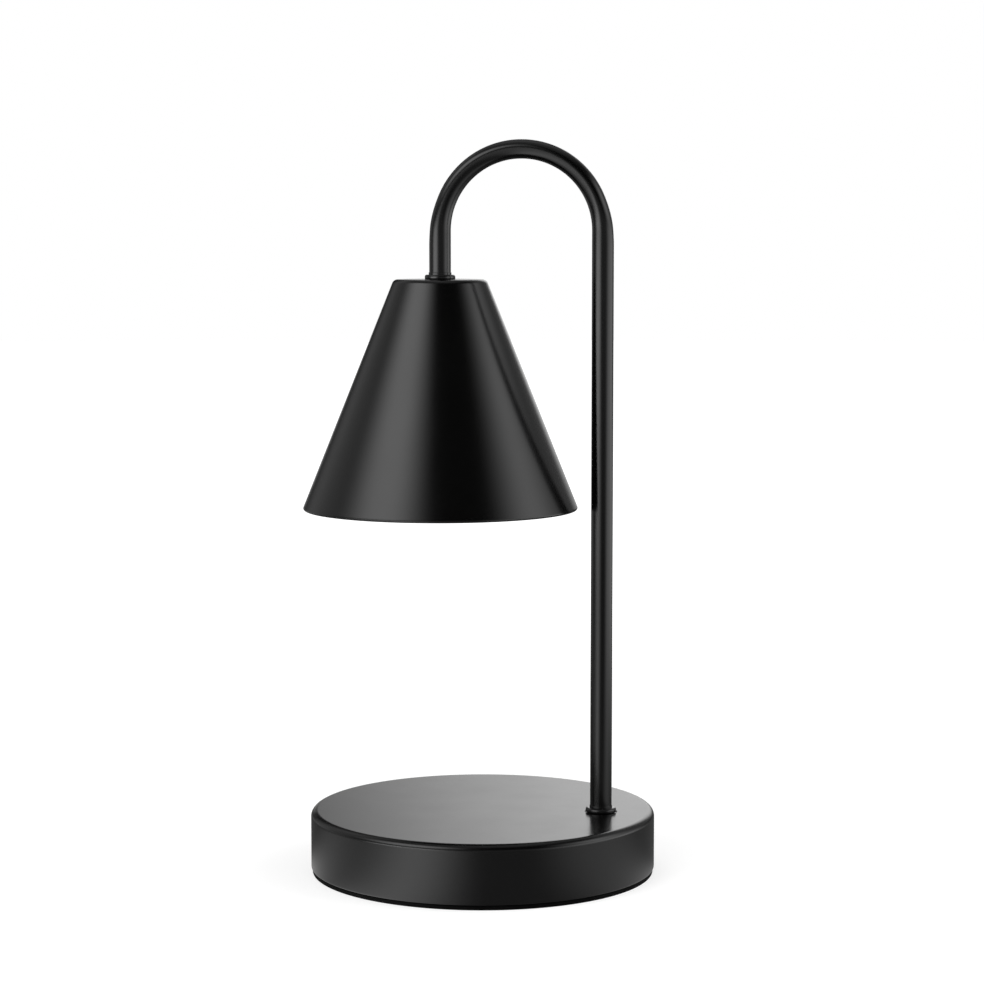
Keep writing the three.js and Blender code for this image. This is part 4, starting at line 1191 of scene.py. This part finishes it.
# %% Lay the floor
FLOOR_RINGS = (radius_of("foot_pad"), base_radius, 0.11, 0.16, 0.24, 0.36, 0.5, 0.7, 0.9, 1.2, 1.7, 2.6, 6)
FLOOR_SIDES = 90
FLOOR_DROP = 0.05 * MM
FLOOR_TONE = 0.5
FLOOR_MOTTLE = 0.01  # more or less than the tone
FLOOR_FILL = 0.62  # glow close to the lamp
FILL_START, FILL_END = 0.35, 0.9  # metres, between which the glow rises to 1


def floor_material():
    material, tree, shader = open_material("pale_floor")
    tree.nodes.remove(shader)
    coords = put(tree, "ShaderNodeTexCoord").outputs["Object"]
    path = put(tree, "ShaderNodeLightPath").outputs
    low, high = FLOOR_TONE - FLOOR_MOTTLE, FLOOR_TONE + FLOOR_MOTTLE
    mottle = use(tree, drift, "Value", Size=300 * MM, Low=low, High=high)
    paint = put(tree, "ShaderNodeBsdfDiffuse", {"Color": mottle})
    seen = math_node(tree, "MAXIMUM", path["Is Camera Ray"], path["Is Transmission Ray"])
    distance = put(tree, "ShaderNodeVectorMath", {0: coords}, operation="LENGTH").outputs["Value"]
    fill = put(
        tree,
        "ShaderNodeMapRange",
        {0: distance, 1: FILL_START, 2: FILL_END, 3: FLOOR_FILL, 4: 1.0},
        interpolation_type="SMOOTHSTEP",
    ).outputs[0]
    glow = put(tree, "ShaderNodeEmission", {"Strength": math_node(tree, "MULTIPLY", seen, fill)})
    lit = put(tree, "ShaderNodeAddShader", {0: paint.outputs[0], 1: glow.outputs[0]})
    image = put(tree, "ShaderNodeEmission", {"Strength": stored_glow(tree)})
    face = put(
        tree, "ShaderNodeMixShader", {0: path["Is Glossy Ray"], 1: lit.outputs[0], 2: image.outputs[0]}
    )
    clear = put(tree, "ShaderNodeBsdfTransparent")
    behind = put(tree, "ShaderNodeNewGeometry").outputs["Backfacing"]
    both = put(tree, "ShaderNodeMixShader", {0: behind, 1: face.outputs[0], 2: clear.outputs[0]})
    tree.links.new(both.outputs[0], tree.nodes["Material Output"].inputs["Surface"])
    material.cycles.emission_sampling = "NONE"
    return material


def lay_floor():
    drop = Vector((0, 0, FLOOR_DROP))
    points = []
    for radius in FLOOR_RINGS:
        points += [toward(360 * i / FLOOR_SIDES) * radius - drop for i in range(FLOOR_SIDES)]
    faces = grid(len(FLOOR_RINGS), FLOOR_SIDES)
    floor = glowing("floor", points, faces, floor_material(), floor_glow)
    if floor.data.polygons[-1].normal.z < 0:
        floor.data.flip_normals()
    print("floor points", len(points))


lay_floor()

# %% [markdown]
# ## The world
# The background is white wherever the camera, a mirror image or glass looks. For the light that falls on
# matt surfaces the same world is much dimmer, because the soft boxes do that work. The Light Path node
# tells the rays apart.

# %% White background
WORLD_LIGHT = 0.35


def white_world():
    world = bpy.data.worlds.new("white_room")
    bpy.context.scene.world = world
    world.use_nodes = True
    tree = world.node_tree
    path = put(tree, "ShaderNodeLightPath").outputs
    seen = math_node(tree, "MAXIMUM", path["Is Camera Ray"], path["Is Glossy Ray"])
    seen = math_node(tree, "MAXIMUM", seen, path["Is Transmission Ray"])
    strength = put(tree, "ShaderNodeMapRange", {0: seen, 3: WORLD_LIGHT, 4: 1.0}).outputs[0]
    tree.links.new(strength, tree.nodes["Background"].inputs["Strength"])
    tree.nodes["Background"].inputs["Color"].default_value = (1, 1, 1, 1)
    world.cycles.sampling_method = "NONE"


white_world()

# %% [markdown]
# ## Studio light
# The pools on the tent are only mirror images. The light itself comes from three soft boxes, left, right
# and overhead. It is even and rather low: it shows the pale ceramic, the wires and the metal inside, and
# throws the soft shadow on the floor.

# %% Soft boxes
SOFT_BOXES = (  # name, azimuth, elevation, distance, width, height, radiance
    ("left_box", -50, 38, 1.2, 0.9, 1.1, 2.0),
    ("right_box", 87, 38, 1.2, 0.95, 0.95, 1.6),
    ("overhead", 0, 89, 1.4, 1.3, 1.3, 1.6),
)


def soft_box(name, azimuth, elevation, distance, width, height, radiance):
    data = bpy.data.lights.new(name, "AREA")
    data.shape = "RECTANGLE"
    data.size = width
    data.size_y = height
    data.energy = radiance * math.pi * width * height
    box = add_object(name, data)
    out = aloft(azimuth, elevation)
    box.location = AIM + out * distance
    box.rotation_euler = out.to_track_quat("Z", "Y").to_euler()
    box.visible_camera = False
    box.visible_glossy = False


for values in SOFT_BOXES:
    soft_box(*values)
print("soft boxes", len(SOFT_BOXES))

# %% [markdown]
# ## Close the scene
# The picture is shown as it is computed, with no film look.

# %% Finish
bpy.context.scene.view_settings.view_transform = "Standard"
